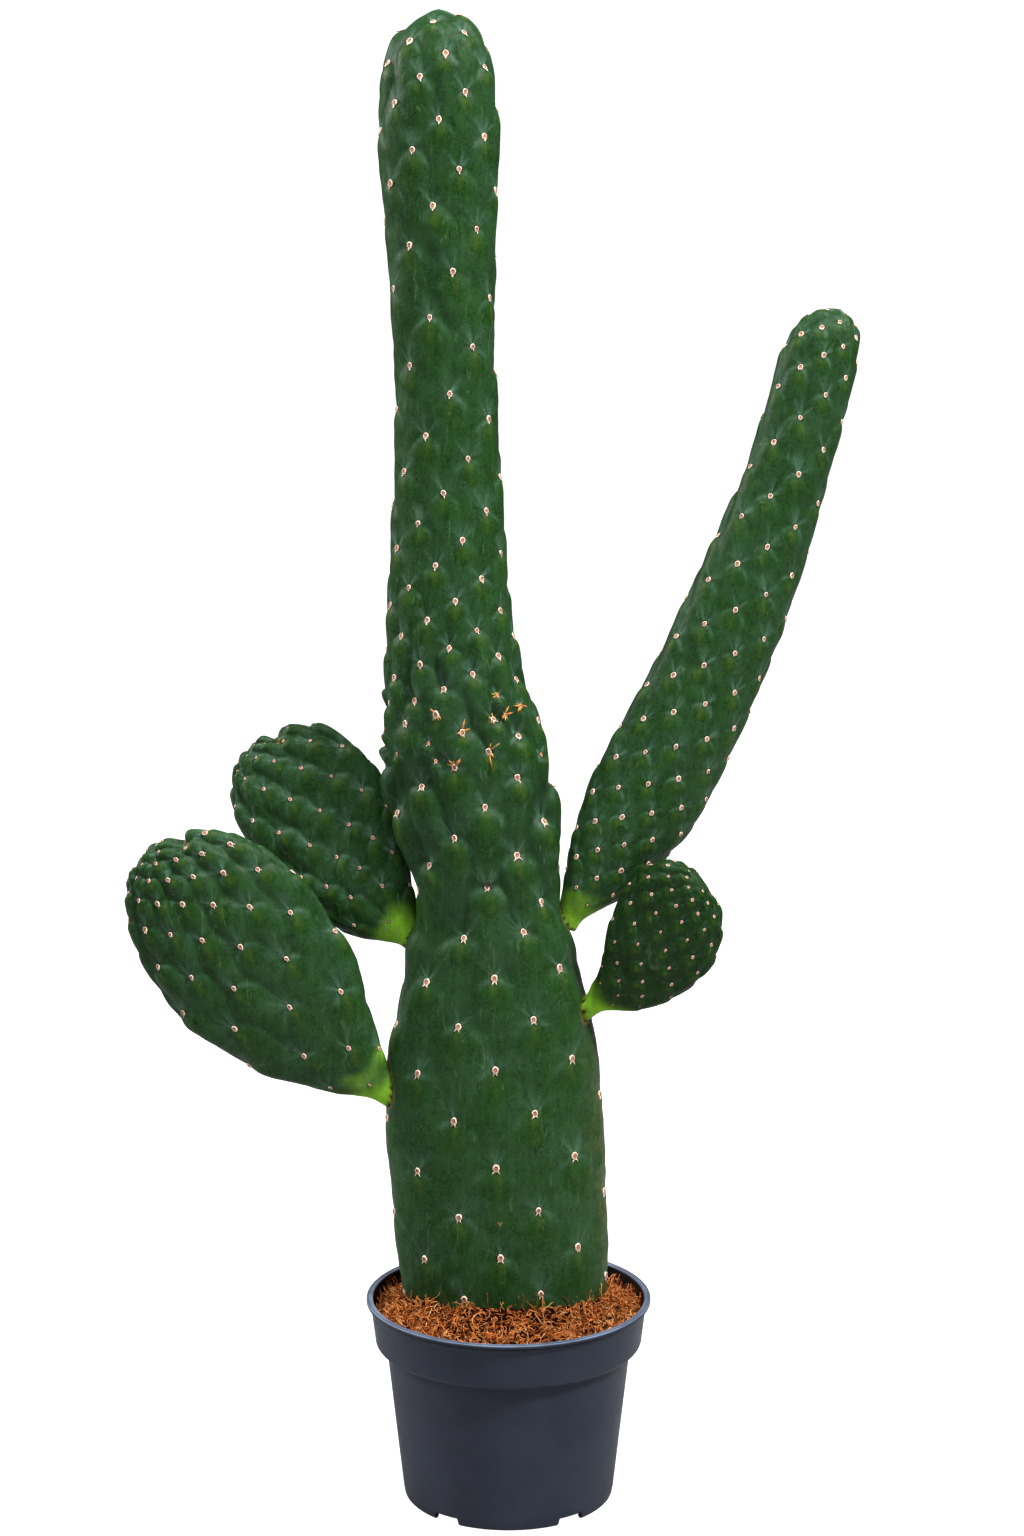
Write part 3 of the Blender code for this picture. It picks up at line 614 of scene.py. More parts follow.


# %% [markdown]
# ## Growing the skin
#
# The grid of a stem's skin is lifted off the bare sections along their normals. While doing so,
# each point also notes where it is as seen from its nearest areole, in millimetres, because the
# pale waxy coat with its painted highlight, stains and scars are painted from there later. Each
# point also notes how deep it lies between the mounds, for painted shade in the valleys. Near the
# border between two areoles the note of the nearest areole fades out, so the paint never tears.
# Where growth paused, small and large mounds take turns, and a few small areoles are strewn
# between the others.

# %% Skin of one stem
FIRST_RELIEF = 4 * MM
FULL_RELIEF = 36 * MM
MEAN_HEIGHT = 0.6
EDGE_BOOST = 0.25
PAUSE_HEIGHT = 584 * MM
PAUSE_REACH = 27 * MM
PAUSE_SIZES = (0.6, 1.6)
SMALL_SHARE = 0.42
EXTRA_AREOLES = 24
EXTRA_SIZE = 0.55
EXTRA_ROOM = 9.5 * MM
# Cushion radius in mm, for the trunk at four distances up its skin in metres
CUSHION_PLACES = (0.15, 0.45, 0.62, 1.05)
CUSHION = dict(trunk=(2.25, 2.1, 1.75, 2.0), right_arm=1.65, right_pad=1.0,
               left_upper_pad=1.25, left_lower_pad=1.65)
SMALL_CUSHION = 0.62
RUSTY_PADS = ("left_upper_pad", "right_pad")
YOUNG_REACH = (48 * MM, 14 * MM)
TIP_REACH = (26 * MM, 6 * MM)
LEFT_TIP_REACH = (60 * MM, 12 * MM)


def unit(vectors):
    """Vectors of length one."""
    return vectors / np.maximum(np.linalg.norm(vectors, axis=-1, keepdims=True), 1e-12)


def grid_normals(grid):
    """Outward normals of a stem's rings: the cross product of the ways up and round."""
    up = np.gradient(grid, axis=0)
    round_it = np.roll(grid, -1, axis=1) - np.roll(grid, 1, axis=1)
    return unit(np.cross(up, round_it))


def near_pause(along, pause=PAUSE_HEIGHT):
    """A bell over heights that is one at the growth pause."""
    return np.exp(-((along - pause) / PAUSE_REACH) ** 2)


def areole_size(skin):
    """Cushion radius of each areole of a stem in metres, and how young and rusty it is. Cushions
    shrink on young skin, towards the tip and where small areoles were strewn in."""
    share, reach, size = skin.areoles.T
    draw = np.random.default_rng(7 + len(share))
    radius = np.interp(reach, CUSHION_PLACES, np.broadcast_to(CUSHION[skin.name], 4)) * MM
    young = 0 * reach
    if skin.name != "trunk":
        young = fade(reach - skin.foot, *YOUNG_REACH)
    tip = fade(skin.reach_end - reach, *(LEFT_TIP_REACH if "left" in skin.name else TIP_REACH))
    radius = radius * draw.uniform(0.86, 1.1, len(share)) * (1 - 0.42 * young) * (1 - 0.42 * tip)
    rust = young + 0.75 * tip + (size < 1) + 0.4 * (skin.name in RUSTY_PADS)
    rust = np.clip(rust + draw.uniform(-0.15, 0.2, len(share)), 0, 1)
    return radius * np.where(size < 1, SMALL_CUSHION, 1), rust


class Skin:
    """A stem's fine skin on a grid, with its relief and the notes for the paint."""

    def __init__(self, name, sides, rings, relief, roundness):
        self.name = name
        self.stem = stem = stems[name]
        self.foot = foot = stem.reach_at(stem.recipe.get("plug", 0) * MM)
        self.reach_end = stem.reach[-1]
        self.shares = np.arange(sides) / sides
        self.reach = np.concatenate([np.linspace(0, foot, 4)[:-1],
                                     foot + (self.reach_end - foot) * np.linspace(0, 1, rings)[:-1]])
        self.along = stem.row(self.reach)[0][:, None]
        self.pause = stem.reach_at(PAUSE_HEIGHT)
        self.areoles = self.find_areoles()
        self.cushions, self.rust = areole_size(self)
        self.bare = stem.skin(self.shares, self.reach)
        self.note_areoles(roundness)
        self.grid = self.lift(relief)
        self.normals = grid_normals(self.grid)

    def find_areoles(self):
        """Share, distance up the skin and size of the areoles. The trunk has none where a pad
        grew from it, and some small extra ones at the growth pause."""
        areoles = np.insert(self.stem.areoles(), 2, 1, axis=1)
        if self.name != "trunk":
            return areoles
        here = np.vstack([self.stem.skin(areoles[i:i + 1, 0], areoles[i:i + 1, 1])[0]
                          for i in range(len(areoles))])
        far = np.ones(len(here), bool)
        for pad in PADS.values():
            room = pad["rows"][1][2] * MM + SEAT_MARGIN
            far &= np.linalg.norm(here - np.array(pad["base"]) * MM, axis=1) > room
        areoles = areoles[far]
        paused = np.abs(areoles[:, 1] - self.pause) < 1.25 * PAUSE_REACH
        is_small = np.random.default_rng(17).uniform(0, 1, len(areoles)) < SMALL_SHARE
        areoles[:, 2] = np.where(paused, np.where(is_small, *PAUSE_SIZES), 1)
        return self.with_extras(areoles)

    def with_extras(self, areoles):
        """Add small areoles at random places of the growth pause, where there is room for them."""
        draw = np.random.default_rng(41)
        around = np.interp(self.pause, self.stem.reach, self.stem.around)
        for _ in range(EXTRA_AREOLES):
            share, reach = draw.uniform(0, 1), self.pause + draw.normal(0, 0.6) * PAUSE_REACH
            across = ((areoles[:, 0] - share + 0.5) % 1 - 0.5) * around
            if np.hypot(across, areoles[:, 1] - reach).min() > EXTRA_ROOM:
                areoles = np.vstack([areoles, (share, reach, EXTRA_SIZE)])
        return areoles

    def note_areoles(self, roundness):
        """The skin's height, and each point's sideways and upward distance from its nearest areole."""
        shape = self.bare.shape[:2]
        draw = np.random.default_rng(len(self.name))
        around = np.interp(self.reach, self.stem.reach, self.stem.around)[:, None]
        power = roundness(self.along)
        heap = np.ones(shape)
        nearest, second = np.full(shape, 9.0), np.full(shape, 9.0)
        self.aside, self.above, self.number = np.zeros(shape), np.zeros(shape), np.zeros(shape)
        self.dome, self.seat = np.full(shape, 0.7), np.zeros(shape)
        for number, (share, reach, size) in enumerate(self.areoles):
            spacing = size * np.interp(reach, self.stem.reach, self.stem.spacing)
            window = np.abs(self.reach - reach) < 2.6 * spacing
            aside = ((self.shares - share + 0.5) % 1 - 0.5) * around[window]
            above = (self.reach[window] - reach)[:, None] + 0 * aside
            a, b = aside / spacing, above / spacing
            uneven = near_pause(reach, self.pause) if self.name == "trunk" else 0.1
            swell = 1 + 0.3 * uneven * draw.uniform(-1, 1)
            sway = draw.normal(0, 0.12) * np.minimum(b, 0)
            dome = dome_distance((a + sway) / swell, b / swell, power[window])
            bulk = draw.uniform(0.86, 1.1) * (1.0 if size == 1 else 0.9)
            heap[window] += np.exp(bulk * mound(dome, b, TAIL_FALL * (1 + uneven)) / SOFTNESS)
            away = np.hypot(a, b)
            closer = away < nearest[window]
            second[window] = np.where(closer, nearest[window], np.minimum(second[window], away))
            nearest[window] = np.where(closer, away, nearest[window])
            for store, value in ((self.aside, aside), (self.above, above), (self.number, number),
                                 (self.dome, dome), (self.seat, self.cushions[number] / MM)):
                store[window] = np.where(closer, value, store[window])
        self.swelling = SOFTNESS * np.log(heap)
        self.near = fade(second - nearest, 0.05, 0.25)

    def lift(self, relief):
        """Move the bare skin out by the mounds, with a slow drift and fine unevenness."""
        grown = fade(self.reach - self.foot, FIRST_RELIEF, FULL_RELIEF)[:, None]
        depth = relief(self.along) * MM
        # Painted shade: how deep each point lies between the mounds, so that the valleys are darkened in the
        # skin's colour.
        self.valley_shade = (1 - np.clip(self.swelling, 0, 1)) * np.minimum(depth / (6 * MM), 1)
        depth = depth * (1 + EDGE_BOOST * np.cos(TURN * self.shares) ** 8)
        out = grown * depth * (self.swelling - MEAN_HEIGHT)
        slow, fine = drift(self.bare, 70 * MM, 1), drift(self.bare, 14 * MM, 2)
        out += grown * (0.5 * MM * slow + 0.22 * MM * fine)
        pit = np.exp(-(np.hypot(self.aside, self.above) / (2.8 * MM)) ** 2) * self.near
        out -= 0.4 * MM * pit * grown
        return turned(self.stem.recipe, self.bare + grid_normals(self.bare) * out[..., None])

    def sample(self, share, reach):
        """Place, outward way and upward way on the fine skin, between its grid points."""
        sides = len(self.shares)
        column = share * sides
        row = np.clip(np.interp(reach, self.reach, np.arange(len(self.reach))), 0, len(self.reach) - 1.001)
        left, low = np.floor(column).astype(int), np.floor(row).astype(int)
        across, up = (column - left)[:, None], (row - low)[:, None]
        left, right = left % sides, (left + 1) % sides

        def between(grid):
            """Values of a grid below, above and at the places, blended along its two ways."""
            lower = grid[low, left] * (1 - across) + grid[low, right] * across
            upper = grid[low + 1, left] * (1 - across) + grid[low + 1, right] * across
            return lower, upper, lower * (1 - up) + upper * up

        lower, upper, here = between(self.grid)
        out = unit(between(self.normals)[2])
        way_up = unit(upper - lower)
        way_up = unit(way_up - out * (way_up * out).sum(1)[:, None])
        return here, out, way_up


def even(value):
    """The same value all along a stem."""
    return lambda along: np.full(along.shape, value)


def trunk_relief(along):
    """Height of the trunk's mounds in mm: faint near the soil, strong at the growth pause."""
    return np.interp(along / MM, (150, 330, 430, 500, 560, 605, 635, 680, 740, 1080),
                     (1.1, 1.8, 4.6, 7.6, 9.2, 7.2, 4.4, 3.0, 2.5, 2.7))


def trunk_roundness(along):
    """How round the tops of the trunk's mounds are: round at the pause, pointed on the column."""
    return np.interp(along / MM, (150, 400, 600, 680, 760), (1.7, 1.9, 2.0, 1.6, 1.4))


skins = {
    "trunk": Skin("trunk", 206, 476, trunk_relief, trunk_roundness),
    "right_arm": Skin("right_arm", 160, 270, even(2.2), even(1.6)),
    "right_pad": Skin("right_pad", 150, 130, even(2.0), even(1.9)),
    "left_upper_pad": Skin("left_upper_pad", 180, 170, even(3.2), even(1.65)),
    "left_lower_pad": Skin("left_lower_pad", 210, 220, even(3.2), even(1.65)),
}

# %% [markdown]
# ## The skin's finish
#
# The skin is a deep bottle green under a thin waxy coat. The coat gathers as a pale blue-grey
# film in the shelter above each areole, fans out from it in rays and follows the mound's edge
# down both sides; this pale film is partly a painted highlight where light catches the upper
# slopes. The valleys between the mounds are painted darker as shade, and a dark ring of painted
# shadow lies round each cushion. The middle of a mound is darker, with an olive streak. Pads are
# yellow-green where they leave the trunk, and a thin line of brown cork marks each joint. All this
# hangs on the notes that the mesh carries, so it follows the growth, and clouds of noise break it up.

# %% Waxy green skin
# DARK_GREEN is laid on as painted shade in the valleys between mounds; it also darkens the middle of each
# mound.
DARK_GREEN = (0.0040, 0.020, 0.0030)
BLOOM_AND_HIGHLIGHT = (0.092, 0.180, 0.124)
OLIVE = (0.070, 0.118, 0.010)
YOUNG_GREEN = (0.205, 0.450, 0.020)
DRY_EDGE = (0.130, 0.125, 0.050)
CUSHION_SHADOW = (0.005, 0.010, 0.004)
PALE_DOT = (0.17, 0.25, 0.10)
SCUFF = (0.10, 0.17, 0.080)
CORK = (0.22, 0.125, 0.045)
SEAM = (0.018, 0.008, 0.003)
SCAB = ((0.34, 0.21, 0.07), (0.10, 0.055, 0.018))
RAY_ANGLE = 0.62
MOUND_EDGE = 0.375


def bloom_and_highlight_amount(look, aside, above, away, near, fine):
    """Pale waxy coat that is partly a painted highlight of the upper slopes: a fan and two rays above the
    areole, a line along the mound's edge, and a film.
    """
    heading = look.math("ARCTAN2", aside, above)
    fan_place = look.node("ShaderNodeCombineXYZ", X=heading * 2.2, Y=look.mark("number"))["Vector"]
    streaks = look.node("ShaderNodeTexNoise", {"noise_dimensions": "2D"}, Vector=fan_place,
                        Scale=1.0, Detail=1.5)["Fac"]
    upward = heading.take("COSINE").span(0.15, 0.95)
    fan = upward * streaks.span(0.40, 0.66, 0.1, 1.0) * away.grow(-0.15)
    rays = ((heading.take("ABSOLUTE") - RAY_ANGLE) * away).bell(1.0) * away.grow(-0.075)
    dome = look.mark("dome")
    line = (dome - MOUND_EDGE).bell(0.06) * away.grow(-0.085)
    patchy = look.noise(95).span(0.38, 0.65)
    total = fan * 1.1 + rays * patchy * 0.4 + line * patchy * 0.62
    shoulder = dome.span(0.12, 0.40) * look.noise(42).span(0.3, 0.7, 0.0, 0.10)
    film = look.noise(13).span(0.45, 0.8, 0.0, 0.04)
    total = total * near * fine.span(0.25, 0.7, 0.55, 1.15)
    return look.math("ADD", total, shoulder + film, clamp=True)


def streak_amount(look, aside, above, near):
    """The olive streak: a narrow bell below the areole that fades downwards."""
    beneath = (above * -1.0).span(2.0, 6.0)
    wander = aside + look.noise(60, 2, 0.5).span(0.3, 0.7, -2.0, 2.0)
    streak = beneath * wander.bell(2.9) * above.grow(0.075) * near
    return streak * look.noise(150).span(0.3, 0.65, 0.3, 1.0)


def speckles(look):
    """Pale dots of two sizes, most of them left out at random, and short upright scuffs."""
    for scale, share, strength in ((640.0, 0.88, 0.15), (300.0, 0.975, 0.13)):
        dots = look.node("ShaderNodeTexVoronoi", Vector=look.place, Scale=scale)
        rare = look.node("ShaderNodeSeparateColor", Color=dots["Color"])["Red"]
        rare = rare.span(share, share + 0.03, 0.0, strength)
        look.coat(dots["Distance"].span(0.10, 0.28, 1.0, 0.0) * rare, PALE_DOT)
    look.coat(look.noise((150, 150, 34), 4, 0.7, 1.5).span(0.58, 0.72, 0.0, 0.34), SCUFF)


def scars(look, fine):
    """Cork at the joints, the thin seam line, and brown scabs."""
    look.coat(look.mark("cork") * look.noise(300).span(0.25, 0.6, 0.4, 1.0), CORK)
    look.coat(look.mark("seam"), SEAM)
    scab = look.blend(look.noise(400, 2, 0.55).span(0.4, 0.6), *SCAB)
    look.coat((look.mark("scar") + fine * 0.9).span(0.92, 1.12), scab)


def waxy_skin(name, deep, fresh, wax_and_highlight):
    """Deep green skin with a pale waxy coat that is partly painted highlight, painted shade in the valleys
    and round the cushions, streaks, young foot, cork, scars, speckles and fine pores.
    """
    look = Finish(name)
    aside, above, near = look.xyz(look.mark("spot", "Vector"))
    away = (aside * aside + above * above).take("SQRT")
    fine = look.noise(260, 4, 0.65)
    bright = tuple(1.5 * value for value in fresh)
    dull = tuple(0.6 * value for value in deep)
    look.tone = look.blend(look.noise(34, 4, 0.6).span(0.3, 0.7), deep, fresh)
    look.coat(look.noise(170, 4, 0.7, 0.8).span(0.42, 0.60, 0.0, 0.75), dull)
    look.coat(look.noise(560, 4, 0.8).span(0.42, 0.58, 0.0, 0.95), bright)
    look.coat(look.noise((210, 210, 40), 4, 0.65).span(0.42, 0.62, 0.0, 0.75), bright)
    # Painted shade: the valleys between the mounds are darkened.
    look.coat(look.mark("valley_shade") * 0.85, DARK_GREEN)
    look.coat(look.mark("dome").span(0.28, 0.06) * near * 0.18, DARK_GREEN)
    bloom_and_highlight = bloom_and_highlight_amount(look, aside, above, away, near, fine)
    # Pale waxy coat, partly a painted highlight: its fan, rays and edge lines stand for light catching the
    # upper slopes of the mounds.
    look.coat(bloom_and_highlight * wax_and_highlight, BLOOM_AND_HIGHLIGHT)
    look.coat(streak_amount(look, aside, above, near) * 0.62, OLIVE)
    look.coat(look.mark("edge") * look.noise(80, 4, 0.65).span(0.35, 0.65, 0.0, 0.45), DRY_EDGE)
    grown = look.noise((120, 120, 60)).span(0.3, 0.7, 0.55, 1.0)
    look.coat(look.mark("young") * grown, YOUNG_GREEN)
    speckles(look)
    # Painted shadow: a dark ring round each cushion, fading outwards.
    look.coat((away - look.mark("seat")).span(0.35, 1.25, 0.9, 0.0) * near, CUSHION_SHADOW)
    scars(look, fine)

    pores = look.node("ShaderNodeTexVoronoi", Vector=look.place, Scale=900.0)["Distance"]
    look.relief(pores, 0.00014, 0.4)
    look.relief(fine, 0.0005, 0.3)
    look.relief(look.noise((150, 150, 45)), 0.0012, 0.35)
    return look.done((fine + bloom_and_highlight).span(0.2, 1.4, 0.42, 0.66), 0.11)


# For each slot: the deep and the fresh green, and how strong the pale waxy coat with its painted highlight
# is on them
GREENS = dict(waxy_green_skin=((0.0037, 0.0212, 0.0024), (0.0090, 0.0350, 0.0052), 0.85),
              young_green_skin=((0.0022, 0.0130, 0.0008), (0.0060, 0.0250, 0.0020), 0.28))
skin_finishes = {slot: waxy_skin(slot, *green) for slot, green in GREENS.items()}

# %% Marks for the paint
YOUNG_LENGTH = 27 * MM
CORK_EDGE = (140, 180, 300, 420)
# Places of the trunk's scabs: sideways and up in mm, their reach and strength
SCABS = ((-60.1, 300.7, 6.0, 0.50), (-6.1, 220.1, 7.0, 0.50), (-15.2, 469.9, 2.6, 0.9),
         (38.0, 356.0, 2.0, 0.6))
NOTCH_SCAR = 13 * MM
# Values on the two closing points of a skin, which lie far from any areole
END_SPOT = (9, 9, 0)


def joint_marks(name, points):
    """Seam and cork values: how close points lie to the skin of a stem that meets them."""
    others = list(PADS) if name == "trunk" else ["trunk"]
    away = np.min([np.abs(stems[other].outside(points)) for other in others], axis=0)
    seam = fade(away, 1.2 * MM, 0.4 * MM)
    cork = fade(away, 3.0 * MM, 0.8 * MM) * (0.85 if name == "trunk" else 0.2)
    return seam, cork


def off_place(grid, x, z):
    """Distances in mm of points from a place on the plant's face, seen from the front."""
    return np.hypot(grid[..., 0] / MM - x, grid[..., 2] / MM - z)


def trunk_scars(skin):
    """Brown marks: torn skin round half of the areoles of the growth pause, and a few lone scabs."""
    away = np.hypot(skin.aside, skin.above)
    rare = (np.sin(skin.number * 12.9898) * 43758.5453) % 1 > 0.5
    torn = np.exp(-np.maximum(away - 2 * MM, 0) / (3.0 * MM))
    scar = near_pause(skin.along) * rare * torn * 0.62
    for x, z, reach, strength in SCABS:
        off = off_place(skin.grid, x, z)
        scar = np.maximum(scar, strength * np.exp(-(off / reach) ** 2) * (skin.grid[..., 1] < 0))
    return scar


def paint_marks(skin):
    """The notes of one skin, as values on its points and on the two closing points."""
    seam, cork = joint_marks(skin.name, skin.grid)
    along = skin.along
    shape = skin.near.shape
    young, scar, edge = np.zeros(shape), np.zeros(shape), np.zeros(shape)
    if skin.name == "trunk":
        scar = trunk_scars(skin)
        low, full, less, high = (value * MM for value in CORK_EDGE)
        side = np.clip(np.cos(TURN * skin.shares)[None, :], 0, 1)
        edge = side ** 20 * fade(along, high, less) * fade(along, low, full)
    else:
        young = fade(along + 8 * MM * drift(skin.grid, 30 * MM, 7), YOUNG_LENGTH, 2 * MM) ** 1.3
    if "left" in skin.name:
        tip = skin.stem.rows[-1, 0]
        off = skin.bare[..., 0] - skin.stem.recipe["notch"][0] * MM
        scar = 0.5 * np.exp(-(off / NOTCH_SCAR) ** 2) * fade(along, tip - 26 * MM, tip - 12 * MM)
    marks = dict(valley_shade=skin.valley_shade, dome=skin.dome, number=skin.number * 7.31,
                 seat=skin.seat, young=young, edge=edge, seam=seam, cork=cork, scar=scar)
    marks = {key: np.append(value, [0, 0]) for key, value in marks.items()}
    spot = np.stack([skin.aside / MM, skin.above / MM, skin.near], axis=-1).reshape(-1, 3)
    marks["spot"] = np.vstack([spot, END_SPOT, END_SPOT])
    return marks


# %% Make the skins
def end_point(stem, row):
    """The middle of a stem's first or last section."""
    along, shift = stem.rows[row, :2]
    return turned(stem.recipe, np.array([[shift, 0, along]]))[0]


def dress(node, slot, name, points, quads, triangles, finish, marks=None):
    """Make a piece, and let it ride on the plant's body in place of its measured node."""
    piece = mesh_piece(name, points, quads, triangles, finish, marks)
    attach(piece, "root")
    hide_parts(node)
    print(name, sum(len(face.vertices) - 2 for face in piece.data.polygons), "triangles")


def skin_slot(name):
    """The slot of a green piece: the small right pad is younger than the rest."""
    return "young_green_skin" if name == "right_pad" else "waxy_green_skin"


def add_skin(skin):
    """Put one skin into the scene in place of its measured node, with a blunt tip."""
    middle = skin.grid[-1].mean(axis=0)
    tip = middle + 0.35 * (end_point(skin.stem, -1) - middle)
    tube = closed_tube(skin.grid, end_point(skin.stem, 0), tip, clockwise=True)
    slot = skin_slot(skin.name)
    dress(skin.name, slot, skin.name + "_skin", *tube, skin_finishes[slot], paint_marks(skin))


for skin in skins.values():
    add_skin(skin)

# %% [markdown]
# ## Areoles
#
# An areole is a cushion of cream felt, drawn out downwards like a drop, with a rusty middle; its
# outer rim is painted near black as the shadow where it meets the skin. On young skin and at the
# tips the cushions are small and rusty all over. There are hundreds, so one is a small turned
# profile of ten sides. All copies are worked out as one array: the profile is placed, scaled and
# roughened for each areole at once.

# %% Areole cushions
AREOLE_SIDES = 10
# Radius and height in units of the cushion's radius, and its tone from rim (0) to middle (1)
AREOLE_PROFILE = np.array([
    (1.12, -0.22, 0.0), (1.02, 0.14, 0.3), (0.86, 0.44, 0.4), (0.56, 0.36, 0.7), (0.32, 0.20, 1.0),
])
# Height and tone of the two closing points, under the cushion and in its middle
AREOLE_ENDS = ((-0.3, 0.0), (0.34, 0.6))
DROP_LENGTH = 0.42


def frame_points(here, out, up, local):
    """Points given as sideways, upward and outward distances at each areole."""
    side = np.cross(up, out)
    return (here[:, None] + local[..., :1] * side[:, None] + local[..., 1:2] * up[:, None]
            + local[..., 2:] * out[:, None])


def areole_shapes(here, out, up, radius, draw):
    """Points, faces and tones of a stem's cushions: one turned profile, drawn out downwards by the
    square of the sine, and wobbled for each."""
    count = len(here)
    angle = np.arange(AREOLE_SIDES) / AREOLE_SIDES * TURN
    drop = 1 + DROP_LENGTH * draw.uniform(0.3, 1.2, (count, 1, 1)) * np.maximum(-np.sin(angle), 0) ** 2
    wobble = drop * (1 + draw.normal(0, 0.06, (count, 1, AREOLE_SIDES)))
    size = radius[:, None, None]
    away = size * AREOLE_PROFILE[None, :, None, 0] * wobble
    uneven = 1 + draw.normal(0, 0.16, (count, 1, AREOLE_SIDES))
    lift = size * AREOLE_PROFILE[None, :, None, 1] * uneven
    local = np.stack([away * np.cos(angle), 1.08 * away * np.sin(angle), lift + 0 * away], axis=-1)
    centre = np.zeros((count, 2, 3))
    centre[..., 2] = radius[:, None] * [height for height, _ in AREOLE_ENDS]
    local = np.concatenate([local.reshape(count, -1, 3), centre], axis=1)
    rings = len(AREOLE_PROFILE)
    made = copies(frame_points(here, out, up, local), tube_faces(rings, AREOLE_SIDES),
                  tube_ends(rings, AREOLE_SIDES))
    tone = np.append(np.repeat(AREOLE_PROFILE[:, 2], AREOLE_SIDES), [tone for _, tone in AREOLE_ENDS])
    return (*made, np.tile(tone, count))


# %% [markdown]
# Spines are short, pale and pressed downwards: two spread legs on the broad trunk and the lower
# left pad, one on the column, the arm and the other pads. Fine bristles stand round them. Each is
# a thin three-sided point whose root is sunk in the cushion, and they are also made as one array.

# %% Spines and bristles


def needles(root, way, length, thick, bend, draw):
    """Curved three-sided points: rings of three at the root and middle, and a tip."""
    way = unit(way)
    side = unit(np.cross(way, draw.normal(size=(len(root), 3))))
    circle = three_sides(side, np.cross(way, side)) * thick[:, None, None]
    middle = root + way * length[:, None] * 0.5 + bend * 0.3
    tip = root + way * length[:, None] + bend
    points = np.concatenate([root[:, None] + circle, middle[:, None] + circle * 0.8, tip[:, None]], axis=1)
    quads = np.array([(0, 1, 4, 3), (1, 2, 5, 4), (2, 0, 3, 5)])
    return copies(points, quads, np.array([(0, 2, 1), (3, 4, 6), (4, 5, 6), (5, 3, 6)]))


def joined(parts):
    """Several sets of points, quads, triangles and tones as one."""
    first = np.cumsum([0] + [len(part[0]) for part in parts])
    parts = [(points, quads + start, triangles + start, tones)
             for start, (points, quads, triangles, tones) in zip(first, parts)]
    return tuple(np.concatenate(item) for item in zip(*parts))


def toned(made, tone):
    """Points and faces with one tone for all points."""
    return (*made, np.full(len(made[0]), tone))


def spine_shapes(here, out, up, radius, lean, length, draw):
    """One spine for each areole, leaning down by an angle to one side, with a slight bend."""
    side = np.cross(up, out)
    size = radius[:, None]
    tilt = (lean + draw.normal(0, 0.16, len(here)))[:, None]
    way = -up * np.cos(tilt) + side * np.sin(tilt) + out * draw.uniform(0.0, 0.3, len(here))[:, None]
    root = here - up * size + out * 0.18 * size + side * tilt * 0.8 * size
    long = length * radius * draw.uniform(0.7, 1.2, len(here))
    return toned(needles(root, way, long, 0.24 * radius, -out * 0.1 * long[:, None], draw), 0.38)


def any_way(side, up, draw):
    """A random direction for each point, in the plane of its two directions."""
    turn = draw.uniform(0, TURN, len(side))[:, None]
    return side * np.cos(turn) + up * np.sin(turn)


def bristle_shapes(here, out, up, radius, count, draw):
    """Fine bristles that stand out of the cushions in all directions."""
    parts = []
    thick = np.full(len(here), BRISTLE_THICK)
    for _ in range(count):
        around = any_way(np.cross(up, out), up, draw)
        way = out * draw.uniform(0.5, 1.2, len(here))[:, None] + around
        root = here + around * 0.35 * radius[:, None] + out * 0.3 * radius[:, None]
        long = radius * draw.uniform(0.5, 1.0, len(here))
        parts.append(toned(needles(root, way, long, thick, around * 0.1 * long[:, None], draw), 0.72))
    return joined(parts)


# %% Areole finish
look = Finish("cream_felt")
felt_tone = look.mark("tone")
grain = look.noise(900, 3, 0.7)
# Painted shade: at tone 0, the cushion's outer rim and underside, the felt is near black, as the shadow
# where cushion meets skin.
look.tone = look.blend(felt_tone.span(0.02, 0.3), (0.008, 0.010, 0.006), (0.86, 0.66, 0.51))
look.coat(felt_tone.span(0.44, 0.62, 0.0, 0.9), (0.30, 0.130, 0.075))
look.coat(felt_tone.span(0.72, 1.0, 0.0, 0.85), (0.16, 0.050, 0.016))
look.coat(grain.span(0.46, 0.66, 0.0, 0.5), (0.22, 0.100, 0.05))
look.coat(look.mark("rust") * 0.72, (0.40, 0.155, 0.035))
look.relief(grain, 0.0006, 0.6)
felt_finish = look.done(0.85)

# %% Make the areoles
# Leans in radians of the spines of each stem, and their length in cushion radii
SPINES = dict(trunk=((-0.5, 1.6), (0.42, 1.5)), right_arm=((-0.1, 0.9),), right_pad=((0.1, 0.8),),
              left_upper_pad=((0.15, 0.8),), left_lower_pad=((-0.4, 1.3), (0.3, 1.2)))
COLUMN_FOOT = 0.62
COLUMN_SPINE = (0.0, 0.75)
COLUMN_SIZE = 1.4
BRISTLES = 4
BRISTLE_THICK = 0.10 * MM
LIFTED = 0.35 * MM


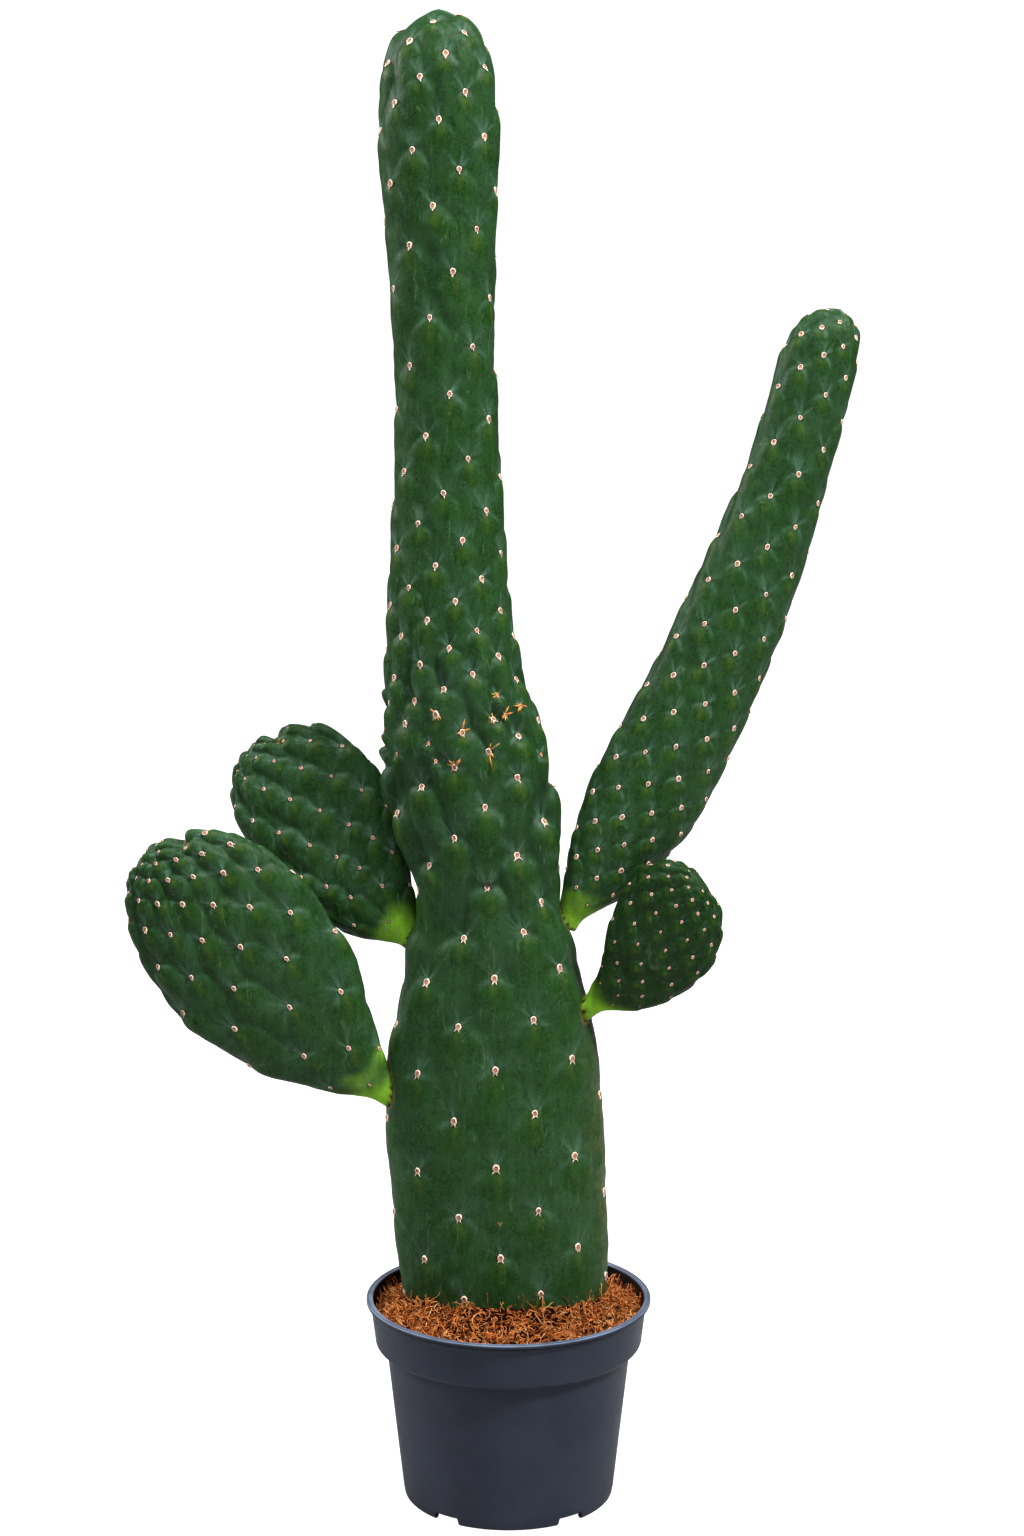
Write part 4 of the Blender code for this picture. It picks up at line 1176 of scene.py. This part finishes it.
def add_areoles(skin, seed):
    """Cushions, spines and bristles of one stem as one piece."""
    draw = np.random.default_rng(seed)
    here, out, up = skin.sample(*skin.areoles.T[:2])
    here = here + out * LIFTED
    base = (here, out, up, skin.cushions)
    parts = [areole_shapes(*base, draw), bristle_shapes(*base, BRISTLES, draw)]
    column = (here[:, 2] >= COLUMN_FOOT) & (skin.name == "trunk")
    for lean, length in SPINES[skin.name]:
        parts.append(spine_shapes(*(item[~column] for item in base), lean, length, draw))
    if column.any():
        here, out, up, radius = (item[column] for item in base)
        parts.append(spine_shapes(here, out, up, COLUMN_SIZE * radius, *COLUMN_SPINE, draw))
    points, quads, triangles, tones = joined(parts)
    rust = np.zeros(len(points))
    closest = np.repeat(skin.rust, len(AREOLE_PROFILE) * AREOLE_SIDES + len(AREOLE_ENDS))
    rust[:len(closest)] = closest
    dress(skin.name, skin_slot(skin.name), skin.name + "_areoles", points, quads, triangles,
          felt_finish, {"tone": tones, "rust": rust})


for seed, skin in enumerate(skins.values()):
    add_areoles(skin, seed)

# %% [markdown]
# At the growth pause the new column broke through the old pad's rim. Shrivelled orange and yellow
# scales are left there round some areoles, and one dead bud lower down has dried to a dark star.
# A scale is a short thick needle that curls outwards.

# %% Dry scales and the dark star
SCALES_EACH = 6
# Where the torn areoles of the face are, sideways and up in mm, and how much larger their scales
TORN_PLACES = ((-6, 597), (-40, 560), (-49, 592), (-36, 573), (-20, 576))
TORN_SIZE = 1.6
TORN_SHARE = 0.12
STAR_PLACE = (-15.2, 469.9)
STAR_RAYS = 11
STAR_THICK = 0.55 * MM
# Added to distances of what faces away, so that a place of the face is found on the face
BEHIND = 900


def dry_scales(skin):
    """Roots, ways, lengths and thicknesses of the scales, and the ways that they curl: six round
    each torn areole of the face, and round a few others of the pause."""
    draw = np.random.default_rng(51)
    share, reach, _ = skin.areoles.T
    along = skin.stem.row(reach)[0]
    torn = draw.uniform(0, 1, len(share)) < TORN_SHARE
    torn &= np.abs(along - PAUSE_HEIGHT) < 0.95 * PAUSE_REACH
    here, out, up = skin.sample(share, reach)
    size = np.ones(len(share))
    for x, z in TORN_PLACES:
        closest = np.argmin(off_place(here, x, z) + BEHIND * (out[:, 1] > 0))
        torn[closest], size[closest] = True, TORN_SIZE
    here, out, up, size = (np.repeat(item[torn], SCALES_EACH, axis=0) for item in (here, out, up, size))
    around = any_way(np.cross(up, out), up, draw)
    length = size * draw.gamma(4.0, 0.7, len(here)) * MM
    thick = draw.uniform(0.5, 1.15, len(here)) * MM
    return here + around * 1.3 * MM, around + 0.45 * out, length, thick, around, draw


def dark_star(skin):
    """Place and outward way of the skin's point nearest to the dead bud, and rays in its plane."""
    off = off_place(skin.grid, *STAR_PLACE) + BEHIND * (skin.grid[..., 1] > 0)
    row, column = np.unravel_index(np.argmin(off), off.shape)
    here, out = skin.grid[row, column], skin.normals[row, column]
    turn = (np.arange(STAR_RAYS) / STAR_RAYS * TURN)[:, None]
    side = unit(np.cross((0, 0, 1.0), out))
    way = side * np.cos(turn) + np.cross(out, side) * np.sin(turn) + 0.18 * out
    return np.repeat(here[None] + 0.6 * MM * out, STAR_RAYS, axis=0), way


look = Finish("dry_scales")
grain = look.noise(500, 3, 0.7)
look.tone = look.blend(look.mark("tone"), (0.50, 0.145, 0.018), (0.62, 0.38, 0.04))
look.coat(grain.span(0.45, 0.7, 0.0, 0.7), (0.13, 0.045, 0.012))
look.coat(look.mark("dark"), (0.035, 0.022, 0.016))
look.relief(grain, 0.0008, 0.5)

root, way, length, thick, around, draw = dry_scales(skins["trunk"])
made = needles(root, way, length, thick, around * 0.25 * length[:, None], draw)
tone = np.repeat(draw.uniform(0, 1, len(root)), 7)
root, way = dark_star(skins["trunk"])
length = draw.uniform(3.8, 6.4, STAR_RAYS) * MM
star = toned(needles(root, way, length, np.full(STAR_RAYS, STAR_THICK), 0 * way, draw), 0.2)
points, quads, triangles, tone = joined([(*made, tone), star])
is_dark = np.arange(len(points)) >= len(made[0])
dress("trunk", "waxy_green_skin", "trunk_dry_scales", points, quads, triangles, look.done(0.7),
      {"tone": tone, "dark": is_dark})

# %% [markdown]
# ## The pot
#
# A nursery pot is pressed from thin anthracite plastic: a rounded lip, a deep collar whose lower
# edge is well rounded, a tapered body, and a foot ring with flat notches that let water out. It is
# one profile turned round the axis. The notches are in the same formula: inside each one the bottom
# of the foot ring is lifted.

# %% Pot sizes
SOIL_TOP = 139.5
POT_HEIGHT = 152.3
LIP_RADIUS = 105.0
LIP_THICK = 3.2
COLLAR_TOP = 102.4
COLLAR_FOOT = 97.9
COLLAR_EDGE = 5.0
SHOULDER = POT_HEIGHT - 36.5
BODY_TOP = 90.4
BODY_FOOT = 77.5
WALL = 1.8
FLOOR_UNDERSIDE = 6.0
FOOT_RING = 4.0
NOTCHES = 5
NOTCH_WIDTH = 21.0
NOTCH_HEIGHT = 5.6
FIRST_NOTCH = math.radians(-54)
NOTCH_EDGE = 0.012
INNER_FLOOR = 7.8
INNER_EDGE = 8.4
PAINTED_SHADE = (0.003, 0.003, 0.003)
LIP_HIGHLIGHT = (0.23, 0.30, 0.42)


def body_radius(z):
    """Outer radius of the tapered body at a height, in mm."""
    return BODY_FOOT + (BODY_TOP - BODY_FOOT) * z / SHOULDER


def collar_radius(z):
    """Outer radius of the collar's slanting side at a height, in mm."""
    return COLLAR_FOOT + (COLLAR_TOP - COLLAR_FOOT) * (z - SHOULDER) / (POT_HEIGHT - SHOULDER)


def arc(centre, radius, start, end, steps=6):
    """Points on an arc, given in degrees."""
    return np.array(centre) + on_circle(radius, np.radians(np.linspace(start, end, steps)))


def pot_outline():
    """Radius and height of the pot's wall, from under the floor, up the outside and down inside."""
    level = SHOULDER + COLLAR_EDGE
    middle = collar_radius(level) - COLLAR_EDGE
    ring = BODY_FOOT - FOOT_RING
    body = np.linspace(6, SHOULDER - 0.8, 40)
    collar = np.linspace(level + 1.5, POT_HEIGHT - 6.0, 12)
    lip_foot = POT_HEIGHT - LIP_THICK
    run = [
        [(1.0, 0.0), (19.0, 0.0), (20.0, 1.0), (20.6, FLOOR_UNDERSIDE), (ring, FLOOR_UNDERSIDE)],
        [(ring, 3.0)],
        arc((ring + 1.0, 1.0), 1.0, 180, 270, 4),
        arc((BODY_FOOT - 2.4, 2.4), 2.4, 270, 360, 6),
        np.column_stack([body_radius(body), body]),
        arc((BODY_TOP + 0.6, SHOULDER - 0.6), 0.6, 180, 90, 4),
        arc((middle, level), COLLAR_EDGE, 272, 358, 10),
        np.column_stack([collar_radius(collar), collar]),
        [(COLLAR_TOP - 0.2, lip_foot - 1.9), (COLLAR_TOP - 0.35, lip_foot - 1.6)],
        arc((COLLAR_TOP + 0.45, lip_foot - 0.95), 0.6, -85, 75, 6),
        [(COLLAR_TOP + 0.35, lip_foot - 0.12), (COLLAR_TOP + 0.9, lip_foot)],
        arc((LIP_RADIUS - 0.6, lip_foot + 0.6), 0.6, -85, 0, 4),
        arc((LIP_RADIUS - 1.3, POT_HEIGHT - 1.3), 1.3, 0, 90, 6),
        [(LIP_RADIUS - 2.7, POT_HEIGHT - 0.2)],
        arc((LIP_RADIUS - 3.8, POT_HEIGHT - 1.3), 1.1, 90, 180, 5),
        [(COLLAR_TOP - WALL - 0.5, POT_HEIGHT - 4.0), (collar_radius(level) - WALL, level)],
        arc((middle, level), COLLAR_EDGE - WALL, -10, -80, 4),
        [(BODY_TOP - WALL, SHOULDER + WALL - 0.4), (body_radius(SHOULDER - 3.0) - WALL, SHOULDER - 3.0)],
        [(body_radius(9.0) - WALL, 9.0), (body_radius(8.0) - WALL - 1.2, INNER_FLOOR)],
        [(1.0, INNER_FLOOR)],
    ]
    return np.vstack([np.asarray(part, float) for part in run])


def pot_angles():
    """Even places round the pot, with more of them at the notches' edges."""
    half = NOTCH_WIDTH / 2 / BODY_FOOT
    middles = FIRST_NOTCH + np.arange(NOTCHES) * TURN / NOTCHES
    edges = np.array([-half, half])[:, None] + np.linspace(-0.02, 0.02, 9)
    edges = (middles[:, None, None] + edges).ravel() % TURN
    return np.unique(np.concatenate([np.arange(180) / 180 * TURN, edges]).round(5)), middles, half


def turned_pot():
    """The outline carried round the axis, with the foot ring lifted inside the notches."""
    outline = pot_outline()
    angles, middles, half = pot_angles()
    off = np.abs((angles[:, None] - middles + math.pi) % TURN - math.pi).min(axis=1)
    inside = fade(off, half + NOTCH_EDGE, half - NOTCH_EDGE)
    radius, z = outline[:, :1] + 0 * angles, outline[:, 1:] + 0 * angles
    is_ring = (radius > BODY_FOOT - FOOT_RING - 0.5) & (z < FLOOR_UNDERSIDE + 0.5)
    lifted = np.maximum(z, NOTCH_HEIGHT * inside + 0.02 * z)
    z = np.where(is_ring & (outline[:, 1:] < NOTCH_HEIGHT), lifted, z)
    return np.dstack([on_circle(radius, angles), z]) * MM


# %% Anthracite plastic


def anthracite():
    """Dark blue-grey satin plastic with mould mottling, faint scratches and dust, painted shade in the
    grooves and on the inner wall above the soil, and a painted highlight along the top of the lip."""
    look = Finish("anthracite_plastic")
    cloud = look.noise(22, 4, 0.6)
    fine = look.noise(700)
    look.tone = look.blend(cloud.span(0.3, 0.7), (0.0195, 0.0235, 0.0370), (0.0242, 0.0288, 0.0448))
    look.coat(look.noise((60, 60, 900), 3, 0.7, 0.4).span(0.62, 0.8, 0.0, 0.12), (0.10, 0.115, 0.145))
    look.coat(look.noise(160, 5, 0.75).span(0.6, 0.85, 0.0, 0.22), (0.12, 0.12, 0.125))
    x, y, height = look.xyz(look.place)
    slope = (COLLAR_TOP - COLLAR_FOOT) / (POT_HEIGHT - SHOULDER)
    middle = (COLLAR_FOOT - slope * SHOULDER - WALL / 2) * MM
    wall = (x * x + y * y).take("SQRT") - height * slope
    inner = wall.span(middle - 0.3 * MM, middle + 0.3 * MM, 0.9, 0.0)
    below_lip = height.span((POT_HEIGHT - 2.5) * MM, (POT_HEIGHT - 1.2) * MM, 1.0, 0.0)
    over_soil = height.span((SOIL_TOP - 8) * MM, (SOIL_TOP - 5) * MM)
    # Painted shade: the inner wall between the soil and the lip is darkened.
    look.coat(inner * below_lip * over_soil, PAINTED_SHADE)
    # Painted shade in the creases under the collar and under the lip.
    for groove, reach in ((SHOULDER - 0.2, 1.1), (POT_HEIGHT - LIP_THICK + 0.1, 0.8)):
        look.coat((height - groove * MM).bell(reach * MM) * 0.8, PAINTED_SHADE)
    # Painted highlight: a pale blue line along the top of the lip.
    lip_highlight = (height - (POT_HEIGHT - 0.5) * MM).bell(0.4 * MM)
    look.coat(lip_highlight * look.noise(30, 3, 0.5).span(0.3, 0.6, 0.35, 0.7), LIP_HIGHLIGHT)
    look.relief(fine, 0.0002, 0.3)
    look.relief(look.noise(45, 3, 0.5), 0.0012, 0.15)
    return look.done((cloud + fine * 0.4).span(0.4, 1.0, 0.36, 0.48), 0.12)


tube = closed_tube(turned_pot(), (0, 0, 0), (0, 0, INNER_FLOOR * MM))
dress("pot", "anthracite_plastic", "nursery_pot", *tube, anthracite())

# %% [markdown]
# ## Coir soil
#
# The pot is filled with coconut fibre: a springy mat of rust-brown threads with dark gaps. The
# mat's body is a surface painted very dark brown as the shade in those gaps; its profile runs
# from the hole round the stem, over the uneven top, to the pot's wall. Thousands of curled threads
# lie loose on it, because what the eye reads as fibre is the dark between one curl and the next.

# %% Soil body
SOIL_GAP = 0.6
STEM_GAP = 0.4
HEEL = 70.0
HEAP = 16.0
SOIL_SIDES = 220
SOIL_RINGS = 64
# Heights in mm down the wall below the soil's top, and how far inside the wall the soil is there
WALL_HEIGHTS = np.array([SHOULDER + 6.5, SHOULDER + 3.0, SHOULDER - 2.0, INNER_EDGE])
WALL_INSETS = np.array([0, 2.5, 0, 0.6])


def stem_section():
    """Middle, half width and half thickness of the trunk at the soil's top, in metres."""
    return stems["trunk"].row(stems["trunk"].reach_at(SOIL_TOP * MM))[1:]


def soil_top(points):
    """Height of the soil's top in mm over points in metres: a heap round the stem's foot that falls
    evenly to the wall, with slow mounds, lumps and crumbs."""
    flat = points * (1, 1, 0)
    shift, wide, thick = stem_section()
    off = np.hypot((flat[..., 0] - shift) / wide, flat[..., 1] / thick)
    beyond = np.hypot(flat[..., 0] - shift, flat[..., 1]) * (1 - 1 / np.maximum(off, 1)) / MM
    to_wall = np.maximum(collar_radius(SOIL_TOP) - WALL - np.hypot(flat[..., 0], flat[..., 1]) / MM, 0.1)
    rise = 1.2 * drift(flat, 46 * MM, 21) + 0.8 * drift(flat, 12 * MM, 22) + 0.6 * drift(flat, 4.2 * MM, 23)
    return SOIL_TOP - 1 + rise + HEAP * (to_wall / (beyond + to_wall)) ** 1.3


def soil_ring(share_out, angle):
    """Points between the stem's outline and the pot's wall, by their share of the way out."""
    shift, wide, thick = stem_section()
    gap = STEM_GAP * MM
    inner = np.stack([shift + (wide + gap) * np.cos(angle), (thick + gap) * np.sin(angle)], axis=-1)
    outer = on_circle((collar_radius(SOIL_TOP) - WALL - SOIL_GAP) * MM, angle)
    return inner + (outer - inner) * share_out[..., None]


def soil_grid():
    """Rings of the soil: hole, top, wall and underside."""
    angle = np.arange(SOIL_SIDES) / SOIL_SIDES * TURN
    share = np.linspace(0, 1, SOIL_RINGS)[:, None] + 0 * angle
    flat = soil_ring(share, angle + 0 * share)
    top = np.dstack([flat, np.zeros(share.shape)])
    top[..., 2] = soil_top(top) * MM
    hole = np.repeat(top[:1], 3, axis=0)
    hole[..., 2] = np.array([HEEL - 1, 100, SOIL_TOP - 6])[:, None] * MM
    radius = np.where(WALL_HEIGHTS > SHOULDER, collar_radius(WALL_HEIGHTS), body_radius(WALL_HEIGHTS))
    radius = (radius - (WALL_INSETS + WALL + SOIL_GAP))[:, None]
    wall = np.dstack([on_circle(radius, angle), WALL_HEIGHTS[:, None] + 0 * angle]) * MM
    return np.concatenate([hole, top, wall])


def coir_finish(name, bright):
    """Coconut fibre whose tone changes from thread to thread, a few of them straw pale. Its dark
    parts are the bright colour cut most in blue, so they stay red-brown."""
    look = Finish(name)
    tone = look.mark("tone")
    strand = look.noise(420, 4, 0.65, 0.6)
    shade = (0.2 * bright[0], 0.13 * bright[1], 0.08 * bright[2])
    look.tone = look.blend((strand + tone).span(0.55, 1.35), shade, bright)
    look.coat(look.noise(110).span(0.35, 0.65, 0.0, 0.45), tuple(0.5 * value for value in shade))
    look.coat(tone.span(0.93, 0.96, 0.0, 0.8), (0.72, 0.46, 0.19))
    look.relief(strand, 0.0012, 0.7)
    return look.done(0.85, 0.03)


def add_coir(name, points, quads, ends, bright, tone):
    """A piece of the soil, with its own bright colour and a tone for each point."""
    dress("coir_soil", "coconut_fibre", name, points, quads, ends, coir_finish(name, bright), {"tone": tone})


grid = soil_grid()
inner_end = np.array([*grid[0].mean(axis=0)[:2], (HEEL - 1) * MM])
points, quads, ends = closed_tube(grid[::-1], (0, 0, INNER_EDGE * MM), inner_end)
# Painted shade: the mat's very dark brown stands for the shade in the gaps between the threads.
add_coir("coir_mat", points, quads, ends, (0.048, 0.011, 0.0025), np.zeros(len(points)))

# %% Curled threads
THREAD_POINTS = 8


def thread_lines(count, length, coil, climb, reach_out, draw):
    """Middle lines of curled threads: each turns steadily, so it coils, while its slope drifts."""
    shape = (count, THREAD_POINTS)
    angle = draw.uniform(0, TURN, count)
    start = soil_ring(reach_out * draw.uniform(0.0, 1.0, count) ** 0.85, angle)
    start = np.column_stack([start, np.zeros(count)])
    start[:, 2] = (soil_top(start) + draw.uniform(-0.3, 1.6, count)) * MM
    heading = draw.uniform(0, TURN, count)[:, None]
    heading = heading + np.cumsum(draw.normal(0, coil, (count, 1)) + draw.normal(0, 0.5, shape), axis=1)
    slope = draw.normal(climb, 0.4, (count, 1)) + np.cumsum(draw.normal(-0.07, 0.3, shape), axis=1)
    step = (length * draw.uniform(0.5, 1.3, count) / (THREAD_POINTS - 1))[:, None]
    way = np.dstack([np.cos(slope) * np.cos(heading), np.cos(slope) * np.sin(heading), np.sin(slope)])
    walk = np.cumsum(way[:, :-1] * step[..., None], axis=1)
    return start[:, None] + np.concatenate([np.zeros((count, 1, 3)), walk], axis=1)


def kept_inside(line):
    """Hold threads inside the pot's wall, over the soil and out of the stem's ellipse."""
    shift, wide, thick = stem_section()
    off = (line[..., :2] - (shift, 0)) / (wide, thick)
    within = np.maximum(np.hypot(off[..., 0], off[..., 1]), 0.3)
    line[..., :2] += (off * (wide, thick)) * (np.maximum(1.01 / within, 1) - 1)[..., None]
    radius = np.hypot(line[..., 0], line[..., 1])
    limit = (collar_radius(SOIL_TOP) - WALL - 2 * SOIL_GAP) * MM
    line[..., :2] *= np.minimum(1, limit / np.maximum(radius, 1e-6))[..., None]
    line[..., 2] = np.maximum(line[..., 2], soil_top(line) * MM - 0.3 * MM)
    return line


def thread_tubes(line, thick):
    """Three-sided tubes along the lines, thinning to both ends."""
    count, steps = line.shape[:2]
    way = unit(np.gradient(line, axis=1))
    side = unit(np.cross(way, np.array([0.3, 0.2, 1.0])))
    taper = 0.35 + 0.65 * np.sin(np.linspace(0.25, math.pi - 0.35, steps))
    radius = thick[:, None, None, None] * taper[None, :, None, None]
    points = line[:, :, None] + three_sides(side, np.cross(way, side)) * radius
    last = 3 * steps - 3
    return copies(points.reshape(count, -1, 3), tube_faces(steps, 3),
                  np.array([(0, 2, 1), (last, last + 1, last + 2)]))


def add_threads(name, count, length, thick, coil, climb, bright, seed, reach_out=1.0):
    """One piece of many threads."""
    draw = np.random.default_rng(seed)
    line = kept_inside(thread_lines(count, length * MM, coil, climb, reach_out, draw))
    made = thread_tubes(line, thick * MM * draw.uniform(0.6, 1.3, count))
    add_coir(name, *made, bright, np.repeat(draw.uniform(0, 1, count), THREAD_POINTS * 3))


add_threads("coir_curls", 3900, 13, 0.42, 0.75, 0.05, (0.78, 0.245, 0.062), 31)
add_threads("coir_threads", 2000, 12, 0.37, 0.25, 0.12, (0.86, 0.34, 0.115), 33)
add_threads("coir_strands", 110, 13, 0.30, 0.12, 0.85, (0.66, 0.38, 0.11), 32, reach_out=0.05)
